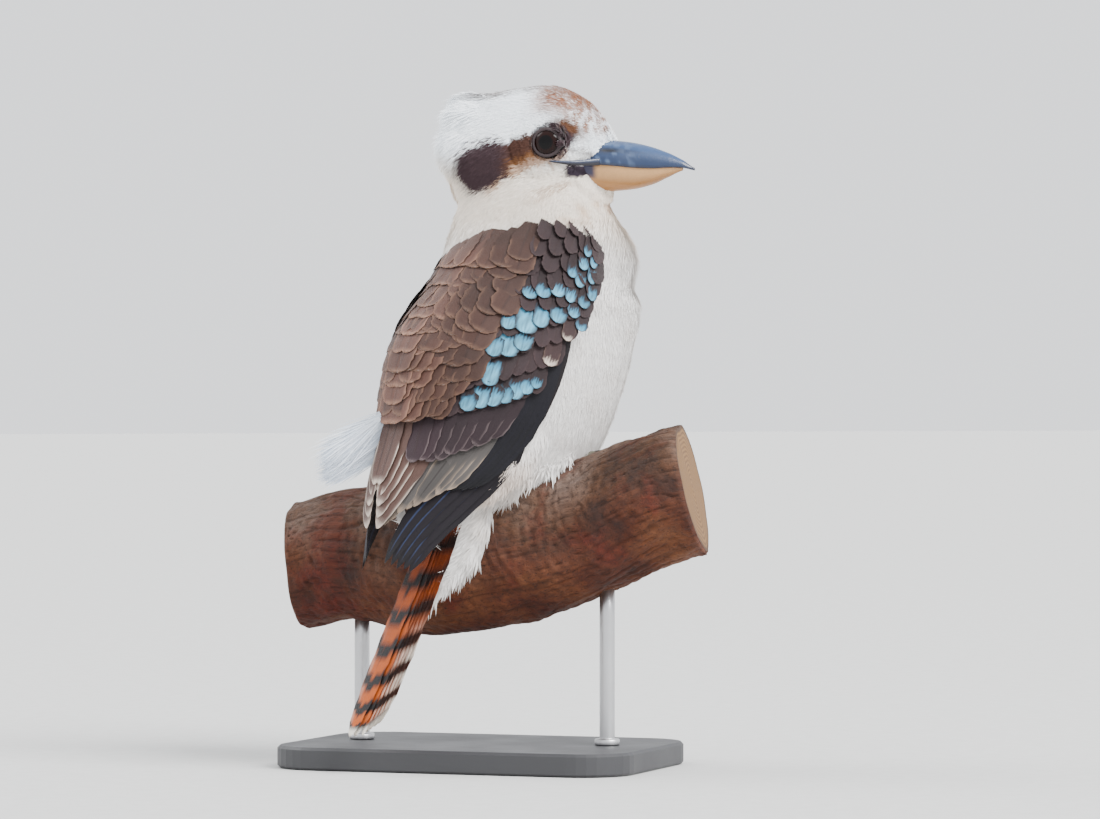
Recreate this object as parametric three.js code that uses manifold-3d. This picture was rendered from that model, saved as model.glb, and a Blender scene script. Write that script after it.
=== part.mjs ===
// A life-size laughing kookaburra on a cut length of branch, held by a plain display stand.
// Millimetres, +Z up. The body faces +X and its left side is +Y.
// The origin is the middle of the base's underside.
import * as THREE from "three";
import { mergeVertices } from "three/addons/utils/BufferGeometryUtils.js";
import Module from "manifold-3d";

const wasm = await Module();
wasm.setup();

// Driving sizes
const GAP = 0.3; // what neighbouring pieces keep between them
const VIEW_YAW = 35; // degrees from the body's side to the side that the camera looks along
const LIFT = 140; // the base's underside lies this far below the level of the vent
const BASE = { length: 196, width: 132, corner: 26, thick: 12, bevel: 1.5 };
const ROD = { radius: 4, at: [-58, 72] };
const VANE_THICK = 0.9;
const VANE_TILT = 9;
const MIDLINE_GAP = 0.2; // half of what the two wings keep between them on the back

const rad = THREE.MathUtils.degToRad;
const V = (x, y, z) => new THREE.Vector3(x, y, z);
const mix = THREE.MathUtils.lerp;

// A point given across the view, in depth and in height, as a point of the body's frame
function fromView(across, depth, height) {
  const c = Math.cos(rad(VIEW_YAW));
  const s = Math.sin(rad(VIEW_YAW));
  return V(c * across + s * depth, -s * across + c * depth, height);
}

// A table of rows sorted by its first column, as a smooth function that returns the other columns
function smoothTable(rows) {
  const at = (i) => rows[Math.min(Math.max(i, 0), rows.length - 1)];
  const up = rows[rows.length - 1][0] > rows[0][0];
  return (x) => {
    let i = 0;
    while (i < rows.length - 2 && (up ? x > rows[i + 1][0] : x < rows[i + 1][0])) {
      i++;
    }
    const span = rows[i + 1][0] - rows[i][0];
    const t = THREE.MathUtils.clamp((x - rows[i][0]) / span, 0, 1);
    return rows[0].slice(1).map((_, k) => {
      const [a, b, c, d] = [at(i - 1), at(i), at(i + 1), at(i + 2)].map((r) => r[k + 1]);
      const square = 2 * a - 5 * b + 4 * c - d;
      const cube = 3 * b - a - 3 * c + d;
      return 0.5 * (2 * b + (c - a) * t + square * t * t + cube * t ** 3);
    });
  };
}

const steps = (from, to, n) => Array.from({ length: n + 1 }, (_, i) => mix(from, to, i / n));
const between = (a, b, t) => a.map((v, i) => mix(v, b[i], t));

// Solids

function solidOf(geometry) {
  const g = geometry.index ? geometry.toNonIndexed() : geometry.clone();
  g.deleteAttribute("normal");
  g.deleteAttribute("uv");
  const merged = mergeVertices(g, 1e-4);
  return new wasm.Manifold(
    new wasm.Mesh({
      numProp: 3,
      vertProperties: merged.attributes.position.array,
      triVerts: new Uint32Array(merged.index.array),
    }),
  );
}

// A closed skin over rings of points of one count, with each end closed flat or by a fan
function loft(rings) {
  const n = rings[0].length;
  const points = rings.flat();
  const faces = [];
  for (let r = 0; r + 1 < rings.length; r++) {
    for (let i = 0; i < n; i++) {
      const [a, b] = [r * n + i, r * n + ((i + 1) % n)];
      faces.push(a, b, a + n, b, b + n, a + n);
    }
  }
  for (const [r, flip] of [[0, true], [rings.length - 1, false]]) {
    if (n === 4) {
      const [a, b, c, d] = [0, 1, 2, 3].map((i) => r * n + i);
      faces.push(...(flip ? [c, b, a, d, c, a] : [a, b, c, a, c, d]));
      continue;
    }
    const middle = rings[r].reduce((sum, p) => sum.add(p), V(0, 0, 0)).divideScalar(n);
    points.push(middle);
    for (let i = 0; i < n; i++) {
      const [a, b] = [r * n + i, r * n + ((i + 1) % n)];
      faces.push(...(flip ? [b, a, points.length - 1] : [a, b, points.length - 1]));
    }
  }
  const made = solidOf(new THREE.BufferGeometry().setFromPoints(points).setIndex(faces));
  if (made.volume() > 0) {
    return made;
  }
  return solidOf(new THREE.BufferGeometry().setFromPoints(points).setIndex(faces.reverse()));
}

// Rings of circles along a path, each [x, y, z, radius], as one round limb
function limb(stations, sides = 10, grow = 0) {
  const path = new THREE.CatmullRomCurve3(stations.map((s) => V(s[0], s[1], s[2])));
  const rings = stations.map((s, i) => {
    const along = path.getTangent(i / (stations.length - 1));
    const side = V(0, 0, 1).cross(along);
    if (side.length() < 0.05) {
      side.set(0, 1, 0);
    }
    side.normalize();
    const up = along.clone().cross(side);
    return Array.from({ length: sides }, (_, k) => {
      const a = (k / sides) * 2 * Math.PI;
      return V(s[0], s[1], s[2])
        .addScaledVector(side, (s[3] + grow) * Math.cos(a))
        .addScaledVector(up, (s[3] + grow) * Math.sin(a));
    });
  });
  return loft(rings);
}

const union = (solids) => wasm.Manifold.union(solids);

// Only the largest closed surface of a solid
function largest(solid) {
  return solid.decompose().reduce((a, b) => (b.volume() > a.volume() ? b : a));
}

const group = new THREE.Group();

function addNode(name, solid, finish) {
  const mesh = largest(solid).getMesh();
  const g = new THREE.BufferGeometry();
  g.setAttribute("position", new THREE.BufferAttribute(new Float32Array(mesh.vertProperties), 3));
  g.setIndex(new THREE.BufferAttribute(new Uint32Array(mesh.triVerts), 1));
  g.computeVertexNormals();
  const part = new THREE.Mesh(g, new THREE.MeshStandardMaterial(finish));
  part.name = name;
  group.add(part);
}

const FINISH = {
  white: { color: 0xd9d8d4, roughness: 0.9, metalness: 0 },
  brown: { color: 0x6d5147, roughness: 0.85, metalness: 0 },
  rufous: { color: 0xa5602d, roughness: 0.85, metalness: 0 },
  billDark: { color: 0x56697f, roughness: 0.4, metalness: 0 },
  billPale: { color: 0xc49b74, roughness: 0.45, metalness: 0 },
  eye: { color: 0x1d1210, roughness: 0.08, metalness: 0 },
  foot: { color: 0x6e6a5c, roughness: 0.7, metalness: 0 },
  claw: { color: 0x2a2725, roughness: 0.4, metalness: 0 },
  bark: { color: 0x7d5639, roughness: 0.9, metalness: 0 },
  stand: { color: 0x2b2421, roughness: 0.5, metalness: 0 },
  steel: { color: 0x9a9a9a, roughness: 0.35, metalness: 1 },
};

// Perch: a bent limb of the tree, given across the view, in height, in depth and in radius
const PERCH_LINE = smoothTable([
  [-92, -36, 67, 34.5],
  [-60, -30, 55.7, 35.5],
  [-12, -31, 38.4, 41],
  [28, -24, 24, 40],
  [65, -14, 10.7, 36.5],
  [116, 8, -7, 35],
]);
const PERCH_ENDS = [-92, 116];
const PERCH_RIDGES = [
  // how many go round it, height, twist in radians per millimetre
  [3, 0.9, 0.05],
  [5, 0.6, -0.09],
  [9, 0.45, 0.13],
];
const PERCH_SIDES = 20;

function perchAxis(across) {
  const [height, depth] = PERCH_LINE(across);
  return fromView(across, depth, height);
}

function perch(grow = 0) {
  const rings = steps(PERCH_ENDS[0] - grow, PERCH_ENDS[1] + grow, 13).map((across) => {
    const radius = PERCH_LINE(across)[2];
    const along = perchAxis(across + 1).sub(perchAxis(across - 1)).normalize();
    const side = V(0, 0, 1).cross(along).normalize();
    const up = along.clone().cross(side);
    return Array.from({ length: PERCH_SIDES }, (_, k) => {
      const a = (k / PERCH_SIDES) * 2 * Math.PI;
      const ridges = PERCH_RIDGES.map(([n, high, twist]) => high * Math.sin(n * a + twist * across));
      const reach = ridges.reduce((sum, ridge) => sum + ridge, radius + grow);
      return perchAxis(across)
        .addScaledVector(side, reach * Math.cos(a))
        .addScaledVector(up, reach * Math.sin(a));
    });
  });
  return loft(rings);
}

// The height of the perch's upper side over a point of the body's frame
function perchTop(x, y) {
  let best = { gap: Infinity };
  for (const across of steps(PERCH_ENDS[0], PERCH_ENDS[1], 200)) {
    const axis = perchAxis(across);
    const gap = Math.hypot(axis.x - x, axis.y - y);
    if (gap < best.gap) {
      best = { gap, axis, radius: PERCH_LINE(across)[2] };
    }
  }
  const across = Math.min(best.gap, best.radius);
  return best.axis.z + Math.sqrt(best.radius ** 2 - across ** 2);
}

const perchSolid = perch();
const perchGrown = perch(GAP);

// Torso: level sections, each as height, front, back and half width
const TORSO = smoothTable([
  [130, 87, 9, 27],
  [122, 94, 4, 34.5],
  [112, 100, -6, 41],
  [100, 102, -17.5, 44],
  [87, 99.5, -26.5, 45.5],
  [75, 97, -31.5, 45.5],
  [60, 92.5, -35, 44],
  [45, 87, -37.5, 41],
  [32, 81.5, -41, 36.5],
  [22, 73, -43, 31],
  [12, 47, -43.5, 27],
  [3, 18, -42, 23],
  [-6, -2, -40, 18],
  [-14, -14, -35, 11],
  [-19, -20, -30, 5],
]);
const TORSO_ENDS = [131, -19];
const TORSO_SIDES = 24;

function levelRing(table, height, sides, grow) {
  const [front, back, half] = table(height);
  const middle = (front + back) / 2;
  const reach = (front - back) / 2 + grow;
  return Array.from({ length: sides }, (_, k) => {
    const a = (k / sides) * 2 * Math.PI;
    return V(middle + reach * Math.cos(a), -(half + grow) * Math.sin(a), height);
  });
}

function torso(grow = 0) {
  const heights = steps(TORSO_ENDS[0] + grow, TORSO_ENDS[1] - grow, 13);
  return loft(heights.map((height) => levelRing(TORSO, height, TORSO_SIDES, grow)));
}

// Head: its own frame has x towards the bill, y to its left, and its middle at HEAD.place
const HEAD = { across: 34, depth: 20, height: 180, turn: -VIEW_YAW - 15 };
const HEAD_FORM = smoothTable([
  // along, top, bottom, half width
  [-43.5, 8, -18, 12],
  [-40.5, 20, -24, 19.5],
  [-34, 29, -28, 25],
  [-22, 34, -31, 29],
  [-6, 36.5, -32, 30],
  [8, 37.5, -31, 28.8],
  [18, 36.5, -29.5, 26.5],
  [26, 33, -28, 23],
  [33, 28, -26, 18.5],
  [39, 21, -24, 14.5],
  [43.5, 13.5, -22, 11],
  [46.5, 8.6, -20, 7.5],
]);
const HEAD_ENDS = [-43.5, 46.5];
const EYE = { along: 13.7, side: 19.3, up: 6.3, radius: 10 };
const LID = { radius: 7.5, thick: 1.2, out: 7.4 };

const headPlace = new THREE.Matrix4()
  .makeRotationZ(rad(HEAD.turn))
  .setPosition(fromView(HEAD.across, HEAD.depth, HEAD.height));
const placed = (solid) => solid.transform(headPlace.toArray());

function headForm(grow = 0) {
  return loft(
    steps(HEAD_ENDS[0] - grow, HEAD_ENDS[1] + grow, 13).map((along) => {
      const [top, bottom, half] = HEAD_FORM(along);
      const middle = (top + bottom) / 2;
      return Array.from({ length: 20 }, (_, k) => {
        const a = (k / 20) * 2 * Math.PI;
        return V(along, (half + grow) * Math.cos(a), middle + ((top - bottom) / 2 + grow) * Math.sin(a));
      });
    }),
  );
}

function eyeBall(side, grow = 0) {
  const globe = new THREE.SphereGeometry(EYE.radius + grow, 14, 8);
  return solidOf(globe.translate(EYE.along, side * EYE.side, EYE.up));
}

// The ring of lid round one eye, facing straight out to that side
function lid(side) {
  const ring = new THREE.TorusGeometry(LID.radius, LID.thick, 5, 14);
  ring.rotateX(Math.PI / 2);
  return solidOf(ring.translate(EYE.along, side * (EYE.side + LID.out), EYE.up));
}

// A point of the head's surface at a distance along it and an angle from its left side over the crown
function headPoint(along, angle, lift = 0) {
  const [top, bottom, half] = HEAD_FORM(along);
  const a = rad(angle);
  const high = (top - bottom) / 2;
  const out = V(0, Math.cos(a) / half, Math.sin(a) / high).normalize();
  return V(along, half * Math.cos(a), (top + bottom) / 2 + high * Math.sin(a)).addScaledVector(out, lift);
}

// Shaggy nape feathers: tapered locks that lie back over the hind crown
const NAPE = [
  // root, tip, first and last angle, how many, how far the tips stand off
  { root: -19, tip: -35, from: 48, to: 132, count: 4, off: 3.6 },
  { root: -27, tip: -42, from: 27, to: 153, count: 5, off: 2.8 },
  { root: -32.5, tip: -44.8, from: 49, to: 131, count: 4, off: 1.8 },
];

function napeLocks() {
  return NAPE.flatMap(({ root, tip, from, to, count, off }) =>
    steps(from, to, count - 1).map((angle, i) =>
      vane(headPoint, [root, angle, -1.4], [tip - 2 * (i % 2), angle, off], 10, 0, 1.6),
    ),
  );
}

// A flat tapered lock from root to tip, its broad side facing up
function lock(root, tip, width, up, thick = 1.6) {
  const along = tip.clone().sub(root).normalize();
  const side = up.clone().cross(along).normalize();
  const normal = along.clone().cross(side);
  const rings = [[0, 0.55, 1], [0.35, 1, 1], [0.7, 0.7, 0.7], [1, 0.1, 0.25]].map(([t, w, h]) => {
    const middle = root.clone().lerp(tip, t);
    return [[1, 0], [0, 1], [-1, 0], [0, -1]].map(([a, b]) =>
      middle
        .clone()
        .addScaledVector(side, (a * w * width) / 2)
        .addScaledVector(normal, (b * h * thick) / 2),
    );
  });
  return loft(rings);
}

// Bill: each half's sections as along, top, bottom and half width
const UPPER_BILL = smoothTable([
  [26, 8.4, -4, 12.5],
  [36, 8.8, -4.4, 14.2],
  [47, 8, -5.2, 12.6],
  [56, 6.6, -6.1, 10.2],
  [65, 4.2, -6.4, 7.6],
  [73.5, 1, -6.1, 5],
  [80.5, -2.6, -6.3, 2.6],
  [86.5, -6.6, -7.8, 0.5],
]);
const LOWER_BILL = smoothTable([
  [26, -4.4, -17.5, 12.6],
  [36, -4.8, -18.6, 13],
  [47, -5.6, -18, 11.6],
  [56, -6.5, -17, 9.2],
  [65, -6.8, -14.6, 6.6],
  [73.5, -6.5, -10.8, 3.9],
  [80, -6.7, -8, 1.3],
]);

// Half a bill, flat where it meets the other half
function billHalf(table, from, to, below) {
  return loft(
    steps(from, to, 11).map((along) => {
      const [top, bottom, half] = table(along);
      const [flat, far] = below ? [top, bottom] : [bottom, top];
      return steps(0, Math.PI, 10).map((a) => V(along, half * Math.cos(a), mix(flat, far, Math.sin(a))));
    }),
  );
}

const BILL_START = 26;
const UPPER_TIP = 86.5;
const LOWER_TIP = 80;
const NOSTRIL = { along: 36, side: 12.6, up: 2.6, long: 4.5, deep: 1.5, high: 0.9, turn: 0.2 };

function nostril(side) {
  const { along, up, long, deep, high, turn } = NOSTRIL;
  const pit = new THREE.SphereGeometry(1, 10, 8).scale(long, deep, high).rotateY(turn);
  return solidOf(pit.translate(along, side * NOSTRIL.side, up));
}

// The bare edge of the gape: a thin strip on the cheek from the bill's root to under the eye
const GAPE = { from: 38, to: 15, level: -3.4, bulge: 1.1, thick: [1.3, 0.6], sides: 6 };

function gape(side) {
  const rings = steps(0, 1, 6).map((t) => {
    const along = mix(GAPE.from, GAPE.to, t);
    const [top, bottom, half] = HEAD_FORM(along);
    const share = (GAPE.level - (top + bottom) / 2) / ((top - bottom) / 2);
    const cheek = half * Math.sqrt(1 - share * share);
    return Array.from({ length: GAPE.sides }, (_, k) => {
      const a = (k / GAPE.sides) * 2 * Math.PI;
      const out = cheek + GAPE.bulge * Math.cos(a);
      return V(along, side * out, GAPE.level + mix(...GAPE.thick, t) * Math.sin(a));
    });
  });
  return loft(rings);
}

// Neck: sections that turn from the body's heading to the head's
const NECK = smoothTable([
  // height, centre x, centre y, half length, half width, turn
  [104, 42, 0, 51, 39, 0],
  [114, 44, 0, 53, 38.5, -6],
  [122, 44.5, 0, 52.5, 37.5, -14],
  [129, 44.2, -0.5, 51.5, 36, -22],
  [141, 42.5, -1.5, 47, 33, -36],
  [152, 40, -2.5, 42.5, 30.5, -46],
  [164, 38.5, -3, 39, 27.5, -50],
  [173, 38.5, -3, 35, 23, -50],
]);

const NECK_ENDS = [104, 173];
const NECK_SIDES = 24;

function neck(grow = 0) {
  return loft(
    steps(...NECK_ENDS, 8).map((z) => {
      const [x, y, long, wide, turn] = NECK(z);
      return Array.from({ length: NECK_SIDES }, (_, k) => {
        const a = (k / NECK_SIDES) * 2 * Math.PI;
        const b = a - rad(turn);
        const reach = 1 / Math.hypot(Math.cos(b) / (long + grow), Math.sin(b) / (wide + grow));
        return V(x + reach * Math.cos(a), y + reach * Math.sin(a), z);
      });
    }),
  );
}

// Folded wings: the surface that their feathers lie on, as height, front, back and half width
const FOLD = smoothTable([
  [148, 80, 10, 33],
  [138, 84, 3, 37.5],
  [130, 88, -3, 41],
  [122, 92, -8.5, 44],
  [112, 97, -15, 47.5],
  [100, 97, -25, 50.5],
  [87, 94.5, -34, 52],
  [75, 92, -39, 52],
  [60, 87, -42.5, 50.5],
  [45, 79, -45, 47.5],
  [30, 66, -48.5, 43],
  [15, 40, -52.5, 37.5],
  [0, 10, -55.5, 31],
  [-14, -14, -57, 26],
  [-28, -30, -58.5, 22],
  [-42, -40, -60, 19],
]);

// A point of the right wing's surface at a height and an angle from the breast round to the back,
// raised by a lift
function foldPoint(height, angle, lift = 0) {
  const [front, back, half] = FOLD(height);
  const a = rad(angle);
  const reach = (front - back) / 2;
  const out = V(Math.cos(a) / reach, -Math.sin(a) / half, 0).normalize();
  return V((front + back) / 2 + reach * Math.cos(a), -half * Math.sin(a), height).addScaledVector(out, lift);
}

// One feather lying on a surface that is given by two coordinates and a lift, from root to tip.
// One edge is raised by the tilt, so that it lies over its neighbour and under the next one.
function vane(surface, root, tip, width, blunt = 0.6, thick = VANE_THICK, tilt = 0) {
  const shape = [[0, 0.5], [0.45, 1], [0.85, mix(0.7, 0.95, blunt)], [1, mix(0.12, 0.45, blunt)]];
  const at = (t, raise = 0) => {
    const [along, round, lift] = between(root, tip, t);
    return surface(along, round, lift + raise);
  };
  return loft(
    shape.map(([t, w]) => {
      const middle = at(t);
      const along = at(Math.min(t + 0.05, 1)).sub(at(Math.min(t + 0.05, 1) - 0.05)).normalize();
      const out = at(t, 1).sub(middle).normalize();
      const side = out.clone().cross(along).normalize().applyAxisAngle(along, -rad(tilt));
      const normal = along.clone().cross(side);
      return [[1, 0], [0, 1], [-1, 0], [0, -1]].map(([a, b]) =>
        middle
          .clone()
          .addScaledVector(side, (a * w * width) / 2)
          .addScaledVector(normal, (b * thick * (t > 0.95 ? 0.5 : 1)) / 2),
      );
    }),
  );
}

// Tiers of the folded wing: how many feathers, their first and last roots and tips as height, angle and
// lift, their width and how blunt they are
const TIERS = {
  primaries: {
    count: 5,
    roots: [[72, 99, -2], [44, 124, -2]],
    tips: [[-38, 133, 0.4], [-12, 150, 3.6]],
    width: 13,
    blunt: 0.15,
  },
  secondaries: {
    count: 5,
    roots: [[60, 110, -1.8], [52, 148, -1.8]],
    tips: [[2, 124, 3.6], [-15, 166, 4]],
    width: 15,
    blunt: 0.5,
  },
  tertials: {
    count: 3,
    roots: [[62, 153, -1.6], [80, 168, -1.6]],
    tips: [[-8, 162, 5.6], [26, 169, 4.6]],
    width: 17,
    blunt: 0.5,
  },
  greaterCoverts: {
    count: 6,
    roots: [[84, 97, -1.6], [68, 146, -1.6]],
    tips: [[44, 105, 3.4], [16, 153, 4.6]],
    width: 14,
    blunt: 0.8,
  },
  medianCoverts: {
    count: 5,
    roots: [[103, 90, -1.6], [92, 138, -1.6]],
    tips: [[70, 96, 3.4], [46, 146, 4.4]],
    width: 17,
    blunt: 0.9,
  },
  lesserCoverts: {
    count: 4,
    roots: [[122, 84, -1.6], [112, 124, -1.6]],
    tips: [[92, 89, 3.4], [84, 126, 4.2]],
    width: 20,
    blunt: 0.9,
  },
  marginalCoverts: {
    count: 3,
    roots: [[139, 82, -1.8], [132, 116, -1.8]],
    tips: [[112, 84, 3.2], [104, 118, 4]],
    width: 22,
    blunt: 0.9,
  },
};
const SCAPULARS = { rows: 4, perRow: 3, top: 130, fall: 19, from: 136, to: 172, width: 17, length: 32 };

function tierVanes({ count, roots, tips, width, blunt }) {
  return steps(0, 1, count - 1).map((t, i) =>
    vane(
      foldPoint,
      between(roots[0], roots[1], t),
      between(tips[0], tips[1], t),
      width * (1 + 0.05 * Math.sin(2.3 * i)),
      blunt,
      VANE_THICK,
      VANE_TILT,
    ),
  );
}

function scapulars() {
  const vanes = [];
  for (let row = 0; row < SCAPULARS.rows; row++) {
    for (const t of steps(0, 1, SCAPULARS.perRow - 1)) {
      const angle = mix(SCAPULARS.from, SCAPULARS.to, t) + (row % 2 ? 3 : -3);
      const height = SCAPULARS.top - row * SCAPULARS.fall - 8 * t;
      const root = [height, angle, -1.6];
      const tip = [height - SCAPULARS.length, Math.min(angle + 4, 174), 4];
      vanes.push(vane(foldPoint, root, tip, SCAPULARS.width, 0.95, VANE_THICK, VANE_TILT));
    }
  }
  return vanes;
}

// The wing's own flesh and coverts' bases: what fills between the body and its feathers
const CORE_FRONT = smoothTable([
  // height, angle of the front edge
  [146, 80],
  [132, 74],
  [120, 76],
  [100, 82],
  [82, 89],
  [45, 104],
  [6, 107],
]);
const CORE = { top: [146, 132], foot: 6, outer: -0.8, rim: -4.6, inner: -5.2, backEdge: 178, rings: 9 };

function wingCore() {
  const rings = steps(0, 1, CORE.rings).map((t, i) => {
    const edge = i === 0 || i === CORE.rings;
    // the upper edge falls from the shoulder to the back's midline
    const at = (angle, lift) => {
      const top = mix(...CORE.top, THREE.MathUtils.clamp((angle - 90) / (CORE.backEdge - 90), 0, 1));
      return foldPoint(mix(top, CORE.foot, t), angle, lift);
    };
    const [from] = CORE_FRONT(mix(CORE.top[0], CORE.foot, t));
    const outer = steps(from + 3, CORE.backEdge, 6).map((a) => at(a, edge ? CORE.rim : CORE.outer));
    const inner = steps(CORE.backEdge, from, 6).map((a) => at(a, CORE.inner));
    return [...outer, ...inner];
  });
  return loft(rings);
}

function rightWing() {
  return union([wingCore(), ...Object.values(TIERS).flatMap(tierVanes), ...scapulars()]);
}

// Tail: two middle feathers on top, then pairs that each lie a layer lower and reach further out
const TAIL = {
  root: V(-9, 0, 14),
  fall: 25.4, // degrees from straight down
  length: 148.5,
  middle: { half: 9.5, lap: 6.5 }, // how far the two middle feathers reach to their own and the other side
  pairs: 5,
  layer: 1.25,
  thick: 0.9,
  step: 2.2, // how much shorter each pair is
  spread: 1.1, // how much further out each pair reaches
  split: 0.6, // from the midline to a pair's inner edges
};
const RECTRIX = [[0, 0.42], [0.35, 0.8], [0.7, 1], [0.93, 0.9], [1, 0.35]]; // shares of length and width
// The tail's flesh under its feathers' roots, its rings as along and half width
const STUMP = { rings: [[-4, 12], [24, 11], [40, 7]], level: -3.6, high: 4.6, sides: 8 };
const tailAlong = V(-Math.sin(rad(TAIL.fall)), 0, -Math.cos(rad(TAIL.fall)));
const tailUp = V(-Math.cos(rad(TAIL.fall)), 0, Math.sin(rad(TAIL.fall)));

function tailPoint(along, side, up) {
  return TAIL.root.clone().addScaledVector(tailAlong, along).addScaledVector(tailUp, up).add(V(0, side, 0));
}

// One tail feather between an inner and an outer edge, in a layer counted down from the top
function rectrix(inner, outer, layer, length) {
  return loft(
    RECTRIX.map(([t, w]) => {
      const middle = (inner + outer) / 2;
      const half = ((outer - inner) / 2) * w;
      const up = -TAIL.layer * layer;
      return [[1, 0], [0, 1], [-1, 0], [0, -1]].map(([a, b]) =>
        tailPoint(t * length, middle * mix(0.75, 1, t) + a * half, up + (b * TAIL.thick) / 2),
      );
    }),
  );
}

function tail() {
  const { half, lap } = TAIL.middle;
  const middlePair = [rectrix(-lap, half, 0, TAIL.length), rectrix(-half, lap, 1, TAIL.length - 1)];
  const pairs = steps(1, TAIL.pairs, TAIL.pairs - 1).flatMap((pair) =>
    [1, -1].map((side) => {
      const outer = side * (half + TAIL.spread * pair);
      return rectrix(side * TAIL.split, outer, pair + 1, TAIL.length - TAIL.step * pair);
    }),
  );
  const stump = loft(
    STUMP.rings.map(([along, wide]) =>
      Array.from({ length: STUMP.sides }, (_, k) => {
        const a = ((k + 0.5) / STUMP.sides) * 2 * Math.PI;
        return tailPoint(along, wide * Math.cos(a), STUMP.level + STUMP.high * Math.sin(a));
      }),
    ),
  );
  return union([stump, ...middlePair, ...pairs]);
}

// Undertail coverts: a soft white lobe on the tail's under side, as along, half width and depth
const UNDERTAIL = [[8, 16, 18], [20, 18, 22], [34, 16.5, 20], [48, 12.5, 14], [60, 7, 7], [69, 2, 1.5]];
const UNDERTAIL_SIDES = 12;
const undertailTop = -TAIL.layer * (TAIL.pairs + 1) - 1.2;

function undertailCoverts() {
  return loft(
    UNDERTAIL.map(([along, half, deep]) =>
      Array.from({ length: UNDERTAIL_SIDES }, (_, k) => {
        const a = (k / UNDERTAIL_SIDES) * 2 * Math.PI;
        return tailPoint(along, half * Math.cos(a), undertailTop + (deep / 2) * (Math.sin(a) - 1));
      }),
    ),
  );
}

// Rump plume: loose white feathers that blow out from under the folded wings on the far side
const PLUME = { root: V(-47, 14, 30), reach: 46, count: 7, width: 8.5, thick: 1.6, fall: 0.42, fan: 0.35 };

function rumpPlume(grow = 0) {
  const tufts = steps(-1, 1, PLUME.count - 1).map((k, i) => {
    const root = PLUME.root.clone().add(V(2 - 2 * k * k, -2 + 3 * k, -5 * k));
    const reach = PLUME.reach * (1 - 0.2 * Math.abs(k)) * (i % 2 ? 0.92 : 1);
    const tip = root.clone().addScaledVector(fromView(-1, -0.1, -PLUME.fall - PLUME.fan * k), reach);
    return lock(root, tip, PLUME.width + 2 * grow, fromView(0.25, -1, 0.5), PLUME.thick + 4 * grow);
  });
  // x, y, z and radius of the stub that the tufts grow from
  const base = limb([[-40 + grow, 13, 34, 7], [-46, 14, 31, 6.5], [-54 - grow, 15.5, 27, 4]], 8, grow);
  return union([base, ...tufts]);
}

// Legs: feathered thigh, bare foot with three toes forward and one back, and claws
const FOOT = { y: 16, behindAxis: 7, ankle: { back: 8, y: 17, height: 36 } };
const TOES = [
  // heading from straight ahead, length, radius
  { turn: -16, length: 26, radius: 3.3 },
  { turn: 4, length: 30, radius: 3.4 },
  { turn: 20, length: 22, radius: 3.1 },
  { turn: 180, length: 17, radius: 3.2 },
];
const CLAW = { length: 9, radius: 1.9 };
const CLAW_LINE = [[0, 0.6, 1], [0.35, 1.3, 0.85], [0.7, 0.4, 0.55], [1, -2.4, 0.15]]; // share, rise, size
const THIGH = [[28, 22, 50, 12], [18, 26, 37, 14], [5, 26, 23, 13.5], [-5, 23, 11, 11], [-11, 20, 2, 5]];
const TOE_SINK = 0.8; // how much of its radius a toe's middle stands above the bark

const sided = (points, side) => points.map(([x, y, ...rest]) => [x, side * y, ...rest]);

function thigh(side, grow = 0) {
  return limb(sided(THIGH, side), 14, grow);
}

// How far forward the foot of one side is: a little behind the perch's axis
function footForward(side) {
  const across = steps(0, 80, 160).reduce((a, b) =>
    Math.abs(perchAxis(b).y - side * FOOT.y) < Math.abs(perchAxis(a).y - side * FOOT.y) ? b : a,
  );
  return perchAxis(across).x - FOOT.behindAxis;
}

// The line of a toe on the bark, as far as the claw's tip
function toePath(toe, side, from, to, count, grow = 0) {
  const heading = rad(side * toe.turn);
  return steps(from, to, count).map((d) => {
    const x = footForward(side) + d * Math.cos(heading);
    const y = side * FOOT.y + d * Math.sin(heading);
    const radius = toe.radius * mix(1.05, 0.8, d / toe.length);
    return [x, y, perchTop(x, y) + radius * TOE_SINK, radius + grow];
  });
}

function tarsus(side, grow = 0) {
  const { back, y, height } = FOOT.ankle;
  const x = footForward(side);
  const ground = perchTop(x, side * FOOT.y);
  const stations = [
    [x - back, side * y, height, 4.2],
    [x - 2, side * FOOT.y, ground + 8, 3.8],
    [x, side * FOOT.y, ground + 2.5, 4.6],
  ];
  return limb(stations, 8, grow);
}

function foot(side, grow = 0) {
  const toes = TOES.map((toe) => limb(toePath(toe, side, 0, toe.length, 3), 6, grow));
  return union([tarsus(side, grow), ...toes]);
}

// The room that the belly and the thigh leave over one foot
const FOOT_ROOM = [[-30, 5], [-4, 8], [24, 13], [42, 9], [42, -9], [24, -13], [-4, -8], [-30, -5]];
const FOOT_ROOM_ENDS = [-12, 8];

function footRoom(side) {
  const x = footForward(side);
  const y = side * FOOT.y;
  const floor = perchTop(x, y);
  return loft(FOOT_ROOM_ENDS.map((z) => FOOT_ROOM.map(([dx, dy]) => V(x + dx, y + dy, floor + z))));
}

function claw(toe, side) {
  const heading = rad(side * toe.turn);
  const [x, y, z] = toePath(toe, side, toe.length, toe.length, 1)[0];
  const stations = CLAW_LINE.map(([t, rise, size]) => {
    const d = t * CLAW.length - 0.5;
    return [x + Math.cos(heading) * d, y + Math.sin(heading) * d, z + rise, CLAW.radius * size];
  });
  return limb(stations, 5);
}

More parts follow.
